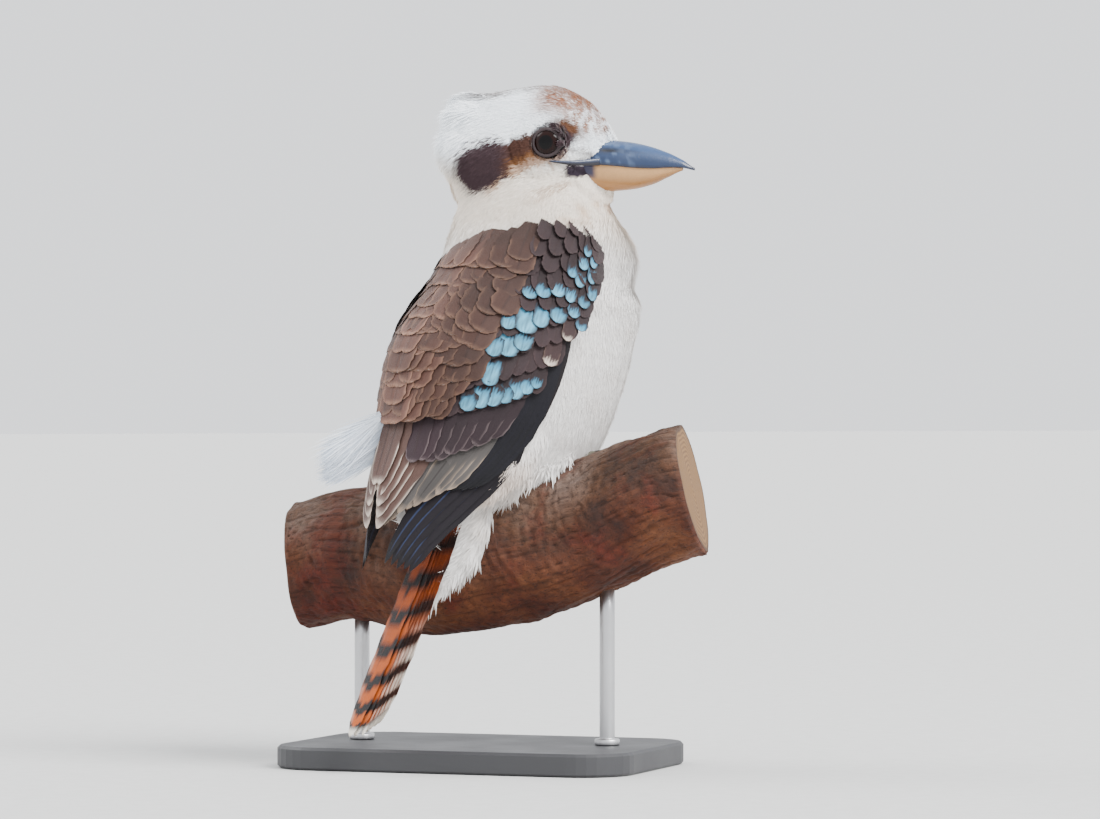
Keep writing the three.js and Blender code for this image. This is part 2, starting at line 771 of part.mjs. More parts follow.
// Stand
function plate() {
  const { length, width, corner, thick, bevel } = BASE;
  const outline = new THREE.Shape();
  const [l, w] = [length / 2 - bevel, width / 2 - bevel];
  outline.absarc(l - corner, w - corner, corner, 0, Math.PI / 2);
  outline.absarc(-l + corner, w - corner, corner, Math.PI / 2, Math.PI);
  outline.absarc(-l + corner, -w + corner, corner, Math.PI, 1.5 * Math.PI);
  outline.absarc(l - corner, -w + corner, corner, 1.5 * Math.PI, 2 * Math.PI);
  const g = new THREE.ExtrudeGeometry(outline, {
    depth: thick - 2 * bevel,
    bevelThickness: bevel,
    bevelSize: bevel,
    bevelSegments: 1,
    curveSegments: 4,
  });
  g.translate(0, 0, bevel);
  return solidOf(g);
}

const plateTurn = Math.atan2(
  perchAxis(60).y - perchAxis(-40).y,
  perchAxis(60).x - perchAxis(-40).x,
);
const plateMiddle = fromView(6, 28, 0);

function rod(across) {
  const at = perchAxis(across);
  const top = at.z + LIFT;
  const foot = BASE.thick + GAP;
  const g = new THREE.CylinderGeometry(ROD.radius, ROD.radius, top - foot, 16);
  g.rotateX(Math.PI / 2);
  return solidOf(g.translate(at.x - plateMiddle.x, at.y - plateMiddle.y, (top + foot) / 2));
}

// Assembly: each piece is cut back by what it grows from or rests against
const lifted = (solid) => solid.translate([-plateMiddle.x, -plateMiddle.y, LIFT]);
const node = (name, solid, finish) => addNode(name, lifted(solid), finish);

const torsoGrown = torso(GAP);
const headGrown = placed(headForm(GAP));
const neckGrown = neck(GAP);
const feetRoom = union([footRoom(1), footRoom(-1), tarsus(1, GAP), tarsus(-1, GAP)]);
const feetGrown = union([foot(1, GAP), foot(-1, GAP)]);
const thighsGrown = union([thigh(1, GAP), thigh(-1, GAP)]);
const eyeSockets = union([eyeBall(1, GAP), eyeBall(-1, GAP)]);
const headSolid = union([headForm(), lid(1), lid(-1), ...napeLocks()]).subtract(eyeSockets);
node("head", placed(headSolid), FINISH.white);
node("right_eye", placed(eyeBall(-1)), FINISH.eye);
node("left_eye", placed(eyeBall(1)), FINISH.eye);

const nostrils = union([nostril(1), nostril(-1)]);
const upperHorn = billHalf(UPPER_BILL, BILL_START, UPPER_TIP, false).subtract(nostrils);
const upperBill = union([upperHorn, gape(1), gape(-1)]);
const lowerBill = billHalf(LOWER_BILL, BILL_START, LOWER_TIP, true);
node("upper_bill", placed(upperBill).subtract(headGrown), FINISH.billDark);
node("lower_bill", placed(lowerBill).subtract(headGrown), FINISH.billPale);

node("neck", neck().subtract(torsoGrown).subtract(headGrown), FINISH.white);
node("torso", torso().subtract(perchGrown).subtract(feetRoom), FINISH.white);

// a box larger than the bird, all on the left of the midline
const beyondMidline = solidOf(new THREE.BoxGeometry(400, 200, 500).translate(0, 100 - MIDLINE_GAP, 0));
const nearTrunk = union([neckGrown, headGrown, thighsGrown]);
const wing = rightWing().subtract(beyondMidline);
const plumeGrown = rumpPlume(GAP);
node("right_wing", wing.subtract(nearTrunk), FINISH.brown);
node("left_wing", wing.mirror([0, 1, 0]).subtract(nearTrunk).subtract(plumeGrown), FINISH.brown);

node("tail", tail().subtract(torsoGrown).subtract(perchGrown), FINISH.rufous);
node("undertail_coverts", undertailCoverts().subtract(torsoGrown).subtract(perchGrown), FINISH.white);
node("rump_plume", rumpPlume().subtract(torsoGrown), FINISH.white);

for (const [name, side] of [["right", -1], ["left", 1]]) {
  const legRoom = union([torsoGrown, perchGrown, feetRoom]);
  node(name + "_thigh", thigh(side).subtract(legRoom), FINISH.white);
  node(name + "_foot", foot(side).subtract(perchGrown), FINISH.foot);
  TOES.forEach((toe, i) => {
    node(name + "_claw_" + (i + 1), claw(toe, side).subtract(feetGrown).subtract(perchGrown), FINISH.claw);
  });
}

node("perch_branch", perchSolid, FINISH.bark);
const rodCut = lifted(perchGrown);
ROD.at.forEach((across, i) => addNode("stand_rod_" + (i + 1), rod(across).subtract(rodCut), FINISH.steel));
addNode("stand_base", plate().rotate([0, 0, THREE.MathUtils.radToDeg(plateTurn)]), FINISH.stand);

export default group;
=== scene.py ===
import logging
import math
from dataclasses import dataclass, field
from enum import Enum
from typing import Callable, Sequence

import bpy
import numpy as np
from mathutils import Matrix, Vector


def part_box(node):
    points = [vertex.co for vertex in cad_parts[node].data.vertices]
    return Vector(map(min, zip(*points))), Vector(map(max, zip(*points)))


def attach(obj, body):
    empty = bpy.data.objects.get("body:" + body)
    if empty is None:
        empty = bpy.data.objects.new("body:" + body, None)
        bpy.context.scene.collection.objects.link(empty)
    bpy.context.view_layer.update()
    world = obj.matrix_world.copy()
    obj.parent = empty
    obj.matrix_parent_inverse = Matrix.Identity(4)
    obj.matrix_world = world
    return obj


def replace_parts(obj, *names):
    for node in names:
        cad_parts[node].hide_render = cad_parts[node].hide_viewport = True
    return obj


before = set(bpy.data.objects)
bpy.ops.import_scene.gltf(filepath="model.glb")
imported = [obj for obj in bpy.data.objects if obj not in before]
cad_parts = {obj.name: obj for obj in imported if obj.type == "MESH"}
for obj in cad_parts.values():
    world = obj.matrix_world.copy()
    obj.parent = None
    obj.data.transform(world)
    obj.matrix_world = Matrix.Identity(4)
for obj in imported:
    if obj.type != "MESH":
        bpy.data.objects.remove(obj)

# The model is drawn in millimetres in the bird's own frame, with the body facing +X and its left at +Y,
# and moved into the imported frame, in metres, as each mesh is made.
MM = 0.001
VIEW_YAW = math.radians(35.0)  # from the body's side to the way the camera looks
LIFT = 140.0  # the floor lies this far below the level of the vent
SEED = 11
BAKE_MAP = "OFBake"
TUFT_PATCH = 0.003  # the share of the bake's map that one tuft takes, across
LARGEST_PIECE = 190_000  # triangles

log = logging.getLogger("kookaburra")
Array = np.ndarray


def from_view(across: Array, depth: Array, height: Array) -> Array:
    """Turns places given across the view, in depth and in height into the body's frame.

    Args:
        across: millimetres to the right in the photo.
        depth: millimetres away from the camera.
        height: millimetres above the vent's level.

    Returns:
        The points, with x, y and z as their last axis.
    """
    c, s = math.cos(VIEW_YAW), math.sin(VIEW_YAW)
    return np.stack([c * across + s * depth, c * depth - s * across, height], -1)


PLATE_MIDDLE = from_view(6.0, 28.0, 0.0)
TO_ROW = np.array([-PLATE_MIDDLE[0], -PLATE_MIDDLE[1], LIFT])
VIVID = 1.3  # how much further from grey a surface is than it should show
DIM = 0.45  # what is left of the darkest surfaces' light


def to_row(points: Array) -> Array:
    """Moves points in millimetres of the body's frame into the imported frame, in metres."""
    return (np.asarray(points, float) + TO_ROW) * MM


def to_body(points: Array) -> Array:
    """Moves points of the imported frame, in metres, into millimetres of the body's frame."""
    return np.asarray(points, float) / MM - TO_ROW


def tone(red: float, green: float, blue: float) -> Array:
    """The surface colour that the bright studio shows as a display colour given from 0 to 255.

    The light is set so that white feathers show white, so darker colours are lowered and made more vivid.
    """
    v = np.array([red, green, blue]) / 255.0
    linear = np.where(v <= 0.04045, v / 12.92, ((v + 0.055) / 1.055) ** 2.4)
    grey = linear.mean()
    return np.maximum(grey + (linear - grey) * VIVID, 0.002) * (DIM + (1 - DIM) * grey**0.8)


def ease(x: Array, low: float, high: float) -> Array:
    """Goes smoothly from 0 at low to 1 at high."""
    t = np.clip((np.asarray(x, float) - low) / (high - low), 0.0, 1.0)
    return t * t * (3.0 - 2.0 * t)


def blend(a: Array, b: Array, share: Array) -> Array:
    """Mixes two colours, or arrays of them, by a share for each point."""
    share = np.asarray(share, float)[..., None]
    return np.asarray(a) * (1.0 - share) + np.asarray(b) * share


def wobble(points: Array, size: float, seed: int = 0) -> Array:
    """A smooth random value from about -1 to 1 that changes over a given size in millimetres."""
    draw = np.random.default_rng(seed)
    total = np.zeros(points.shape[:-1])
    for _ in range(7):
        way = draw.normal(size=3)
        total += np.sin(points @ way * (2.2 / size) + draw.uniform(0, 6.28))
    return total / 3.0


def unit(v: Array) -> Array:
    """Vectors scaled to a length of one."""
    return v / np.maximum(np.linalg.norm(v, axis=-1, keepdims=True), 1e-9)


class SmoothTable:
    """Rows of sizes, sorted by their first column, read as smooth functions of it."""

    def __init__(self, rows: Sequence[Sequence[float]]) -> None:
        """Keeps the rows in rising order of the first column."""
        table = np.array(rows, float)
        table = table[np.argsort(table[:, 0])]
        self.keys, self.values = table[:, 0], table[:, 1:]

    def __call__(self, x: Array) -> Array:
        """Reads the columns at x.

        Args:
            x: places along the first column, of any shape.

        Returns:
            An array with the other columns as its last axis.
        """
        x = np.asarray(x, float)
        last = len(self.keys) - 1
        i = np.clip(np.searchsorted(self.keys, x, side="right") - 1, 0, last - 1)
        t = np.clip((x - self.keys[i]) / (self.keys[i + 1] - self.keys[i]), 0.0, 1.0)[..., None]
        a, b = self.values[np.maximum(i - 1, 0)], self.values[i]
        c, d = self.values[i + 1], self.values[np.minimum(i + 2, last)]
        curve = (c - a) * t + (2 * a - 5 * b + 4 * c - d) * t**2 + (3 * b - a - 3 * c + d) * t**3
        return 0.5 * (2 * b + curve)


@dataclass
class Form:
    """A mesh in the making: points in millimetres of the body's frame, with what its finish reads."""

    points: Array
    faces: Array
    tint: Array
    vane: Array
    chart: Array | None = None

    def joined(self, *others: "Form") -> "Form":
        """This form and others as one, with their faces renumbered."""
        forms = (self, *others)
        starts = np.cumsum([0] + [len(f.points) for f in forms[:-1]])
        return Form(
            np.concatenate([f.points for f in forms]),
            np.concatenate([f.faces + s for f, s in zip(forms, starts)]),
            np.concatenate([f.tint for f in forms]),
            np.concatenate([f.vane for f in forms]),
        )

    def facing_out(self) -> "Form":
        """The same closed form with its faces turned outwards."""
        corners = self.points[self.faces] - self.points.mean(0)
        volume = 0.0
        for i in range(2, self.faces.shape[1]):
            volume += float((np.cross(corners[:, 0], corners[:, i - 1]) * corners[:, i]).sum())
        if volume < 0:
            self.faces = self.faces[:, ::-1]
        return self

    def mirrored(self) -> "Form":
        """The same form on the bird's other side."""
        points = self.points * np.array([1, -1, 1])
        return Form(points, self.faces[:, ::-1], self.tint, self.vane, self.chart)

    def as_object(self, name: str, finish: bpy.types.Material, slot: str) -> bpy.types.Object:
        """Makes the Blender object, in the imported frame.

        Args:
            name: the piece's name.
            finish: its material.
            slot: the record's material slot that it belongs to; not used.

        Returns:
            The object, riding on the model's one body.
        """
        corners = self.faces.shape[1]
        mesh = bpy.data.meshes.new(name)
        mesh.vertices.add(len(self.points))
        mesh.vertices.foreach_set("co", to_row(self.points).ravel())
        mesh.loops.add(self.faces.size)
        mesh.loops.foreach_set("vertex_index", self.faces.ravel().astype(np.int32))
        mesh.polygons.add(len(self.faces))
        mesh.polygons.foreach_set("loop_start", np.arange(len(self.faces), dtype=np.int32) * corners)
        mesh.update(calc_edges=True)
        mesh.polygons.foreach_set("use_smooth", np.ones(len(self.faces), bool))
        self.write_attributes(mesh)
        if self.chart is not None:
            layer = mesh.uv_layers.new(name=BAKE_MAP)
            layer.data.foreach_set("uv", self.chart[self.faces.ravel()].ravel())
        piece = bpy.data.objects.new(name, mesh)
        bpy.context.scene.collection.objects.link(piece)
        return settle(piece, finish)

    def write_attributes(self, mesh: bpy.types.Mesh) -> None:
        """Stores the tint and the place on each vane on the mesh's points."""
        rgba = np.ones((len(self.points), 4), np.float32)
        rgba[:, :3] = np.clip(self.tint, 0.0, 1.0)
        mesh.attributes.new("tint", "FLOAT_COLOR", "POINT").data.foreach_set("color", rgba.ravel())
        vane = mesh.attributes.new("vane", "FLOAT_VECTOR", "POINT")
        vane.data.foreach_set("vector", self.vane.astype(np.float32).ravel())


def settle(piece: bpy.types.Object, finish: bpy.types.Material) -> bpy.types.Object:
    """Gives a piece its finish, lets it ride on the root body and reports it."""
    piece.data.materials.clear()
    piece.data.materials.append(finish)
    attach(piece, "root")
    log.info("%s: %d faces", piece.name, len(piece.data.polygons))
    return piece


def read_values(
    rows: bpy.types.bpy_prop_collection, name: str, width: int, kind: type = np.float32
) -> Array:
    """Reads a property of every row of a mesh's collection.

    Args:
        rows: the collection, such as a mesh's vertices.
        name: the property.
        width: how many numbers it has.
        kind: the type of number.

    Returns:
        The numbers, a row for each.
    """
    values = np.zeros(len(rows) * width, kind)
    rows.foreach_get(name, values)
    return values.reshape(-1, width)


def grid_faces(rows: int, columns: int, ring: bool = False) -> Array:
    """Four-cornered faces over a grid of points.

    Args:
        rows: how many rows of points.
        columns: how many points in a row.
        ring: whether each row closes on itself.

    Returns:
        The faces' point numbers, one row of four for each.
    """
    r, c = np.meshgrid(np.arange(rows - 1), np.arange(columns if ring else columns - 1), indexing="ij")
    after = (c + 1) % columns
    a, b = r * columns + c, r * columns + after
    return np.stack([a, b, b + columns, a + columns], -1).reshape(-1, 4)


def repeated(cell: Array, count: int, step: int) -> Array:
    """The faces of one part again for every part of a batch, each with its own points."""
    return (cell[None] + (np.arange(count) * step)[:, None, None]).reshape(-1, cell.shape[1])


def flat_form(points: Array, faces: Array, tint: Array, vane: Array) -> Form:
    """A form from grids of points, colours and vane values."""
    return Form(points.reshape(-1, 3), faces, tint.reshape(-1, 3), vane.reshape(-1, 3))


def circle(count: int) -> Array:
    """Evenly spaced angles round a full turn."""
    return np.arange(count) / count * 2 * np.pi


def spokes(side: Array, up: Array, angles: Array) -> Array:
    """Directions round each place of a path, from its side and up directions."""
    return side[:, None] * np.cos(angles)[:, None] + up[:, None] * np.sin(angles)[:, None]


def loft(rings: Array, tint: Array | None = None) -> Form:
    """A closed skin over rings of points, each end drawn together to its middle.

    Args:
        rings: points as ring, point round the ring, and x, y, z.
        tint: a colour for each point, in the same order.

    Returns:
        The form. Its vane values are the share along, the share round and 0.
    """
    n, m = rings.shape[:2]
    ends = [np.repeat(r.mean(0, keepdims=True), m, 0)[None] for r in (rings[0], rings[-1])]
    points = np.concatenate([ends[0], rings, ends[1]])
    colour = np.full((n, m, 3), 0.5) if tint is None else tint
    colour = np.concatenate([colour[:1], colour, colour[-1:]])
    along, around = np.meshgrid(np.linspace(0, 1, n + 2), np.arange(m) / m, indexing="ij")
    vane = np.stack([along, around, np.zeros_like(along)], -1)
    return flat_form(points, grid_faces(n + 2, m, ring=True), colour, vane).facing_out()


def loft_open(rings: Array, tint: Array) -> Form:
    """A tube over rings of points with open ends, which meet where the tube closes on itself."""
    n, m = rings.shape[:2]
    along, around = np.meshgrid(np.linspace(0, 1, n), np.arange(m) / m, indexing="ij")
    vane = np.stack([along, around, 0 * along], -1)
    return flat_form(rings, grid_faces(n, m, ring=True), tint, vane).facing_out()


def limb(stations: Array, sides: int, tint: Array, fine: int = 8) -> Form:
    """A round limb through stations of x, y, z and radius.

    Args:
        stations: at least two rows of x, y, z and radius.
        sides: how many points go round.
        tint: one colour, or one for each station.
        fine: how many rings each stretch between stations gets.

    Returns:
        The closed form.
    """
    stations = np.asarray(stations, float)
    share = np.arange(len(stations), dtype=float)
    table = SmoothTable(np.column_stack([share, stations, np.broadcast_to(tint, (len(stations), 3))]))
    read = table(np.linspace(0, share[-1], fine * (len(stations) - 1) + 1))
    path, radius, colour = read[:, :3], read[:, 3], read[:, 4:7]
    along = unit(np.gradient(path, axis=0))
    side = unit(np.cross([0.0, 0.02, 1.0], along))
    up = np.cross(along, side)
    rings = path[:, None] + spokes(side, up, circle(sides)) * radius[:, None, None]
    return loft(rings, np.repeat(colour[:, None], sides, 1))


# Finishes


COLOUR, NUMBER = "NodeSocketColor", "NodeSocketFloat"
GREY = (0.5, 0.5, 0.5, 1.0)


def node_group(
    name: str, inputs: dict[str, tuple[str, object]], outputs: dict[str, str]
) -> bpy.types.NodeTree:
    """A shader node group with named sockets and its input and output nodes.

    Args:
        name: the group's name.
        inputs: socket name to its type and first value.
        outputs: socket name to its type.

    Returns:
        The group's node tree.
    """
    group = bpy.data.node_groups.new(name, "ShaderNodeTree")
    for label, (kind, value) in inputs.items():
        made = group.interface.new_socket(label, in_out="INPUT", socket_type=kind)
        made.default_value = value
    for label, kind in outputs.items():
        group.interface.new_socket(label, in_out="OUTPUT", socket_type=kind)
    group.nodes.new("NodeGroupInput")
    group.nodes.new("NodeGroupOutput")
    return group


class Wiring:
    """Short ways to add and join nodes in one tree."""

    def __init__(self, tree: bpy.types.NodeTree) -> None:
        """Works on one node tree."""
        self.tree = tree

    def add(self, kind: str, settings: dict[str, object] | None = None, **values: object) -> bpy.types.Node:
        """Adds a node.

        Args:
            kind: the node's type.
            settings: properties of the node itself.
            values: its inputs by name, with _ for a space, each a value or a socket to join.

        Returns:
            The node.
        """
        node = self.tree.nodes.new(kind)
        for key, value in (settings or {}).items():
            setattr(node, key, value)
        for key, value in values.items():
            label = key.replace("_", " ")
            socket = node.inputs[int(label[1:])] if label[1:].isdigit() else node.inputs[label]
            if isinstance(value, bpy.types.NodeSocket):
                self.tree.links.new(value, socket)
            else:
                socket.default_value = value
        return node

    def math(self, operation: str, a: object, b: object = 0.0, c: object = 0.0) -> bpy.types.NodeSocket:
        """A Math node's result."""
        return self.add("ShaderNodeMath", {"operation": operation}, i0=a, i1=b, i2=c).outputs[0]

    def mix(self, share: object, a: object, b: object, how: str = "MIX") -> bpy.types.NodeSocket:
        """A colour mix's result."""
        node = self.add("ShaderNodeMix", {"data_type": "RGBA", "blend_type": how}, i0=share, i6=a, i7=b)
        return node.outputs[2]

    def noise(
        self, where: object, scale: float, detail: float = 3.0, rough: float = 0.55
    ) -> bpy.types.NodeSocket:
        """A noise texture's value."""
        made = self.add("ShaderNodeTexNoise", Vector=where, Scale=scale, Detail=detail, Roughness=rough)
        return made.outputs["Fac"]

    def join(self, source: bpy.types.NodeSocket, goal: bpy.types.NodeSocket) -> None:
        """Joins one node's result to another's input."""
        self.tree.links.new(source, goal)

    def shaded(self, tint: object, shade: object) -> bpy.types.NodeSocket:
        """A colour made lighter or darker by a factor."""
        grey = self.add("ShaderNodeCombineColor", Red=shade, Green=shade, Blue=shade).outputs[0]
        return self.mix(1.0, tint, grey, "MULTIPLY")

    def ramp(self, value: object, *stops: tuple[float, Sequence[float]]) -> bpy.types.NodeSocket:
        """A colour ramp through stops of place and colour."""
        node = self.add("ShaderNodeValToRGB", Fac=value)
        while len(node.color_ramp.elements) < len(stops):
            node.color_ramp.elements.new(0.5)
        for element, (place, colour) in zip(node.color_ramp.elements, stops):
            element.position = place
            element.color = (*colour, 1.0)
        return node.outputs["Color"]

    def place(self) -> bpy.types.NodeSocket:
        """The object's own coordinates, in metres."""
        return self.add("ShaderNodeTexCoord").outputs["Object"]

    def attribute(self, name: str) -> bpy.types.Node:
        """A mesh attribute."""
        return self.add("ShaderNodeAttribute", {"attribute_name": name})


class Effects:
    """The node groups that several finishes share, each made once."""

    def __init__(self) -> None:
        """Builds every group."""
        self.barbs = self.make_barbs()
        self.grain = self.make_grain()

    @staticmethod
    def make_barbs() -> bpy.types.NodeTree:
        """Fine slanted barbs and a shaft over a feather, from its vane attribute."""
        numbers = {"Count": (NUMBER, 70.0), "Slant": (NUMBER, 0.35), "Depth": (NUMBER, 0.12)}
        outputs = {"Color": COLOUR, "Height": NUMBER}
        group = node_group("FeatherBarbs", {"Tint": (COLOUR, GREY), **numbers}, outputs)
        w = Wiring(group)
        ins, outs = group.nodes["Group Input"].outputs, group.nodes["Group Output"].inputs
        parts = w.add("ShaderNodeSeparateXYZ", Vector=w.attribute("vane").outputs["Vector"])
        side = w.math("ABSOLUTE", parts.outputs["X"])
        loose = w.noise(w.place(), 900.0, 2.0)
        slanted = w.math("SUBTRACT", parts.outputs["Y"], w.math("MULTIPLY", side, ins["Slant"]))
        turns = w.math("MULTIPLY_ADD", slanted, ins["Count"], w.math("MULTIPLY", loose, 2.2))
        wave = w.math("SINE", w.math("MULTIPLY", turns, math.tau))
        shaft = w.math("LESS_THAN", side, 0.05)
        shade = w.math("MULTIPLY_ADD", wave, ins["Depth"], 1.0)
        of_feather = w.math("MULTIPLY_ADD", parts.outputs["Z"], 0.16, 0.92)
        w.join(w.shaded(ins["Tint"], w.math("MULTIPLY", shade, of_feather)), outs["Color"])
        w.join(w.math("MULTIPLY_ADD", wave, 0.5, shaft), outs["Height"])
        return group

    @staticmethod
    def make_grain() -> bpy.types.NodeTree:
        """Uneven tone and fine relief for horn, skin, paint and metal."""
        numbers = {"Fine": (NUMBER, 900.0), "Broad": (NUMBER, 60.0), "Contrast": (NUMBER, 0.25)}
        outputs = {"Color": COLOUR, "Height": NUMBER, "Wear": NUMBER}
        group = node_group("UnevenGrain", {"Tint": (COLOUR, GREY), **numbers}, outputs)
        w = Wiring(group)
        ins, outs = group.nodes["Group Input"].outputs, group.nodes["Group Output"].inputs
        where = w.place()
        fine = w.add("ShaderNodeTexNoise", Vector=where, Scale=ins["Fine"], Detail=4.0).outputs["Fac"]
        broad = w.add("ShaderNodeTexNoise", Vector=where, Scale=ins["Broad"], Detail=5.0).outputs["Fac"]
        both = w.math("ADD", w.math("MULTIPLY", fine, 0.4), w.math("MULTIPLY", broad, 0.6))
        shade = w.math("MULTIPLY_ADD", w.math("SUBTRACT", both, 0.5), ins["Contrast"], 1.0)
        w.join(w.shaded(ins["Tint"], shade), outs["Color"])
        w.join(fine, outs["Height"])
        w.join(broad, outs["Wear"])
        return group


@dataclass(frozen=True)
class Finish:
    """One surface's finish: what it has in common with every other."""

    name: str
    rough: float = 0.6
    relief: float = 0.2
    relief_size: float = 0.0004

    def start(self) -> tuple[bpy.types.Material, Wiring, bpy.types.Node]:
        """A material with its Principled shader.

        Returns:
            The material, the wiring of its tree and the shader node.
        """
        made = bpy.data.materials.new(self.name)
        made.use_nodes = True
        w = Wiring(made.node_tree)
        shader = made.node_tree.nodes["Principled BSDF"]
        shader.inputs["Roughness"].default_value = self.rough
        return made, w, shader

    def emboss(self, w: Wiring, shader: bpy.types.Node, height: bpy.types.NodeSocket) -> None:
        """Raises the surface by a height, at this finish's relief."""
        bump = w.add("ShaderNodeBump", Strength=self.relief, Distance=self.relief_size, Height=height)
        w.join(bump.outputs["Normal"], shader.inputs["Normal"])


@dataclass(frozen=True)
class FeatherFinish(Finish):
    """Feathers: their own tint under fine barbs, with a soft sheen and a painted glow of that same tint."""

    count: float = 60.0
    slant: float = 0.35
    depth: float = 0.1
    sheen: float = 0.1
    # painted glow: how strongly the feathers give off light of their own tint, brightening them where shade
    # falls too
    painted_glow: float = 0.0

    def material(self, effects: Effects) -> bpy.types.Material:
        """The finished material."""
        made, w, shader = self.start()
        barbs = w.add(
            "ShaderNodeGroup",
            {"node_tree": effects.barbs},
            Tint=w.attribute("tint").outputs["Color"],
            Count=self.count,
            Slant=self.slant,
            Depth=self.depth,
        )
        w.join(barbs.outputs["Color"], shader.inputs["Base Color"])
        # the painted glow: the feathers' own tint given off as light
        w.join(barbs.outputs["Color"], shader.inputs["Emission Color"])
        shader.inputs["Emission Strength"].default_value = self.painted_glow
        self.emboss(w, shader, barbs.outputs["Height"])
        shader.inputs["Sheen Weight"].default_value = self.sheen
        shader.inputs["Sheen Roughness"].default_value = 0.4
        shader.inputs["Specular IOR Level"].default_value = 0.25
        return made


@dataclass(frozen=True)
class GrainFinish(Finish):
    """Horn, skin, paint or metal: a tint with uneven tone and fine relief."""

    fine: float = 900.0
    broad: float = 60.0
    contrast: float = 0.3
    coat: float = 0.0
    metal: float = 0.0
    flat_tint: tuple[float, float, float] | None = None

    def material(self, effects: Effects) -> bpy.types.Material:
        """The finished material."""
        made, w, shader = self.start()
        grain = w.add(
            "ShaderNodeGroup",
            {"node_tree": effects.grain},
            Fine=self.fine,
            Broad=self.broad,
            Contrast=self.contrast,
        )
        if self.flat_tint is None:
            w.join(w.attribute("tint").outputs["Color"], grain.inputs["Tint"])
        else:
            grain.inputs["Tint"].default_value = (*self.flat_tint, 1.0)
        w.join(grain.outputs["Color"], shader.inputs["Base Color"])
        rough = w.math("MULTIPLY_ADD", grain.outputs["Wear"], 0.3, self.rough - 0.15)
        w.join(rough, shader.inputs["Roughness"])
        self.emboss(w, shader, grain.outputs["Height"])
        shader.inputs["Coat Weight"].default_value = self.coat
        shader.inputs["Coat Roughness"].default_value = 0.12
        shader.inputs["Metallic"].default_value = self.metal
        return made


@dataclass(frozen=True)
class EyeFinish(Finish):
    """The wet eye: a dark tinted ball under a clear coat."""

    def material(self, effects: Effects) -> bpy.types.Material:
        """The finished material."""
        made, w, shader = self.start()
        flecks = w.noise(w.place(), 1400.0, 4.0)
        tint = w.attribute("tint").outputs["Color"]
        shade = w.ramp(flecks, (0.3, (0.6, 0.6, 0.6)), (0.7, (1.0, 1.0, 1.0)))
        w.join(w.mix(1.0, tint, shade, "MULTIPLY"), shader.inputs["Base Color"])
        shader.inputs["Specular IOR Level"].default_value = 0.1
        shader.inputs["Coat Weight"].default_value = 0.15
        shader.inputs["Coat Roughness"].default_value = 0.02
        return made


@dataclass(frozen=True)
class BarkFinish(Finish):
    """Weathered bark: grey and red-brown patches, streaks along the limb and dark cracks."""

    def material(self, effects: Effects) -> bpy.types.Material:
        """The finished material."""
        made, w, shader = self.start()
        where = w.place()
        parts = w.add("ShaderNodeSeparateXYZ", Vector=w.attribute("vane").outputs["Vector"])
        stretched = w.add(
            "ShaderNodeCombineXYZ",
            X=w.math("MULTIPLY", parts.outputs["X"], 4.0),
            Y=w.math("MULTIPLY", parts.outputs["Y"], 22.0),
            Z=w.math("MULTIPLY", parts.outputs["Z"], 1.0),
        ).outputs[0]
        broad = w.noise(where, 22.0, 5.0)
        tint = w.ramp(
            broad,
            (0.32, tone(74, 47, 33)),
            (0.45, tone(118, 82, 58)),
            (0.55, tone(140, 112, 92)),
            (0.7, tone(158, 137, 120)),
        )
        rust = w.ramp(w.noise(where, 34.0, 4.0, 0.6), (0.52, (0, 0, 0)), (0.66, (1, 1, 1)))
        tint = w.mix(w.math("MULTIPLY", rust, 0.75), tint, (*tone(128, 62, 30), 1.0))
        streak = w.noise(stretched, 3.0, 6.0, 0.65)
        pale = w.ramp(streak, (0.3, (0.35, 0.32, 0.3)), (0.62, (1.1, 1.08, 1.05)))
        tint = w.mix(0.7, tint, pale, "MULTIPLY")
        crack = w.noise(stretched, 9.0, 3.0, 0.7)
        dark = w.ramp(crack, (0.34, (0.18, 0.15, 0.13)), (0.44, (1, 1, 1)))
        tint = w.mix(0.85, tint, dark, "MULTIPLY")
        # times the tint on the limb's points, which holds painted light on the top and painted shade
        # underneath
        tint = w.mix(1.0, tint, w.attribute("tint").outputs["Color"], "MULTIPLY")
        w.join(tint, shader.inputs["Base Color"])
        height = w.math("ADD", streak, w.math("MULTIPLY", w.noise(where, 500.0, 5.0), 0.35))
        height = w.math("ADD", height, w.math("MULTIPLY", crack, 0.6))
        self.emboss(w, shader, height)
        return made


# the white down has a painted glow, light of its own tint that brightens it where shade falls
DOWN = FeatherFinish("white_down", 0.85, 0.1, count=5.0, slant=0.1, depth=0.03, sheen=0.3, painted_glow=0.3)
WING_VANE = FeatherFinish("wing_vanes", 0.62, 0.35, count=46.0, slant=0.3, depth=0.09)
TAIL_VANE = FeatherFinish("tail_vanes", 0.6, 0.35, count=120.0, slant=0.12, depth=0.1)
BILL_HORN = GrainFinish("bill_horn", 0.36, 0.25, fine=700.0, broad=90.0, contrast=0.5, coat=0.25)
CLAW_HORN = GrainFinish("claw_horn", 0.35, 0.2, contrast=0.4, coat=0.3)
SCALY_SKIN = GrainFinish("scaly_skin", 0.6, 0.7, 0.0005, fine=1400.0, broad=240.0, contrast=0.7)
WET_EYE = EyeFinish("wet_eye", 0.12)
BARK = BarkFinish("weathered_bark", 0.85, 0.9, 0.0012)
SAWN_WOOD = GrainFinish("sawn_wood", 0.8, 0.5, fine=1100.0, broad=120.0, contrast=0.5)
STAND_PAINT = GrainFinish(
    "stand_paint", 0.5, 0.2, 0.0002, fine=2600.0, broad=30.0, contrast=0.25, flat_tint=(0.035, 0.035, 0.038)
)
ROD_STEEL = GrainFinish(
    "brushed_rod",
    0.4,
    0.15,
    0.0001,
    fine=1800.0,
    broad=40.0,
    contrast=0.2,
    metal=1.0,
    flat_tint=(0.55, 0.55, 0.56),
)


# Surfaces that feathers lie on


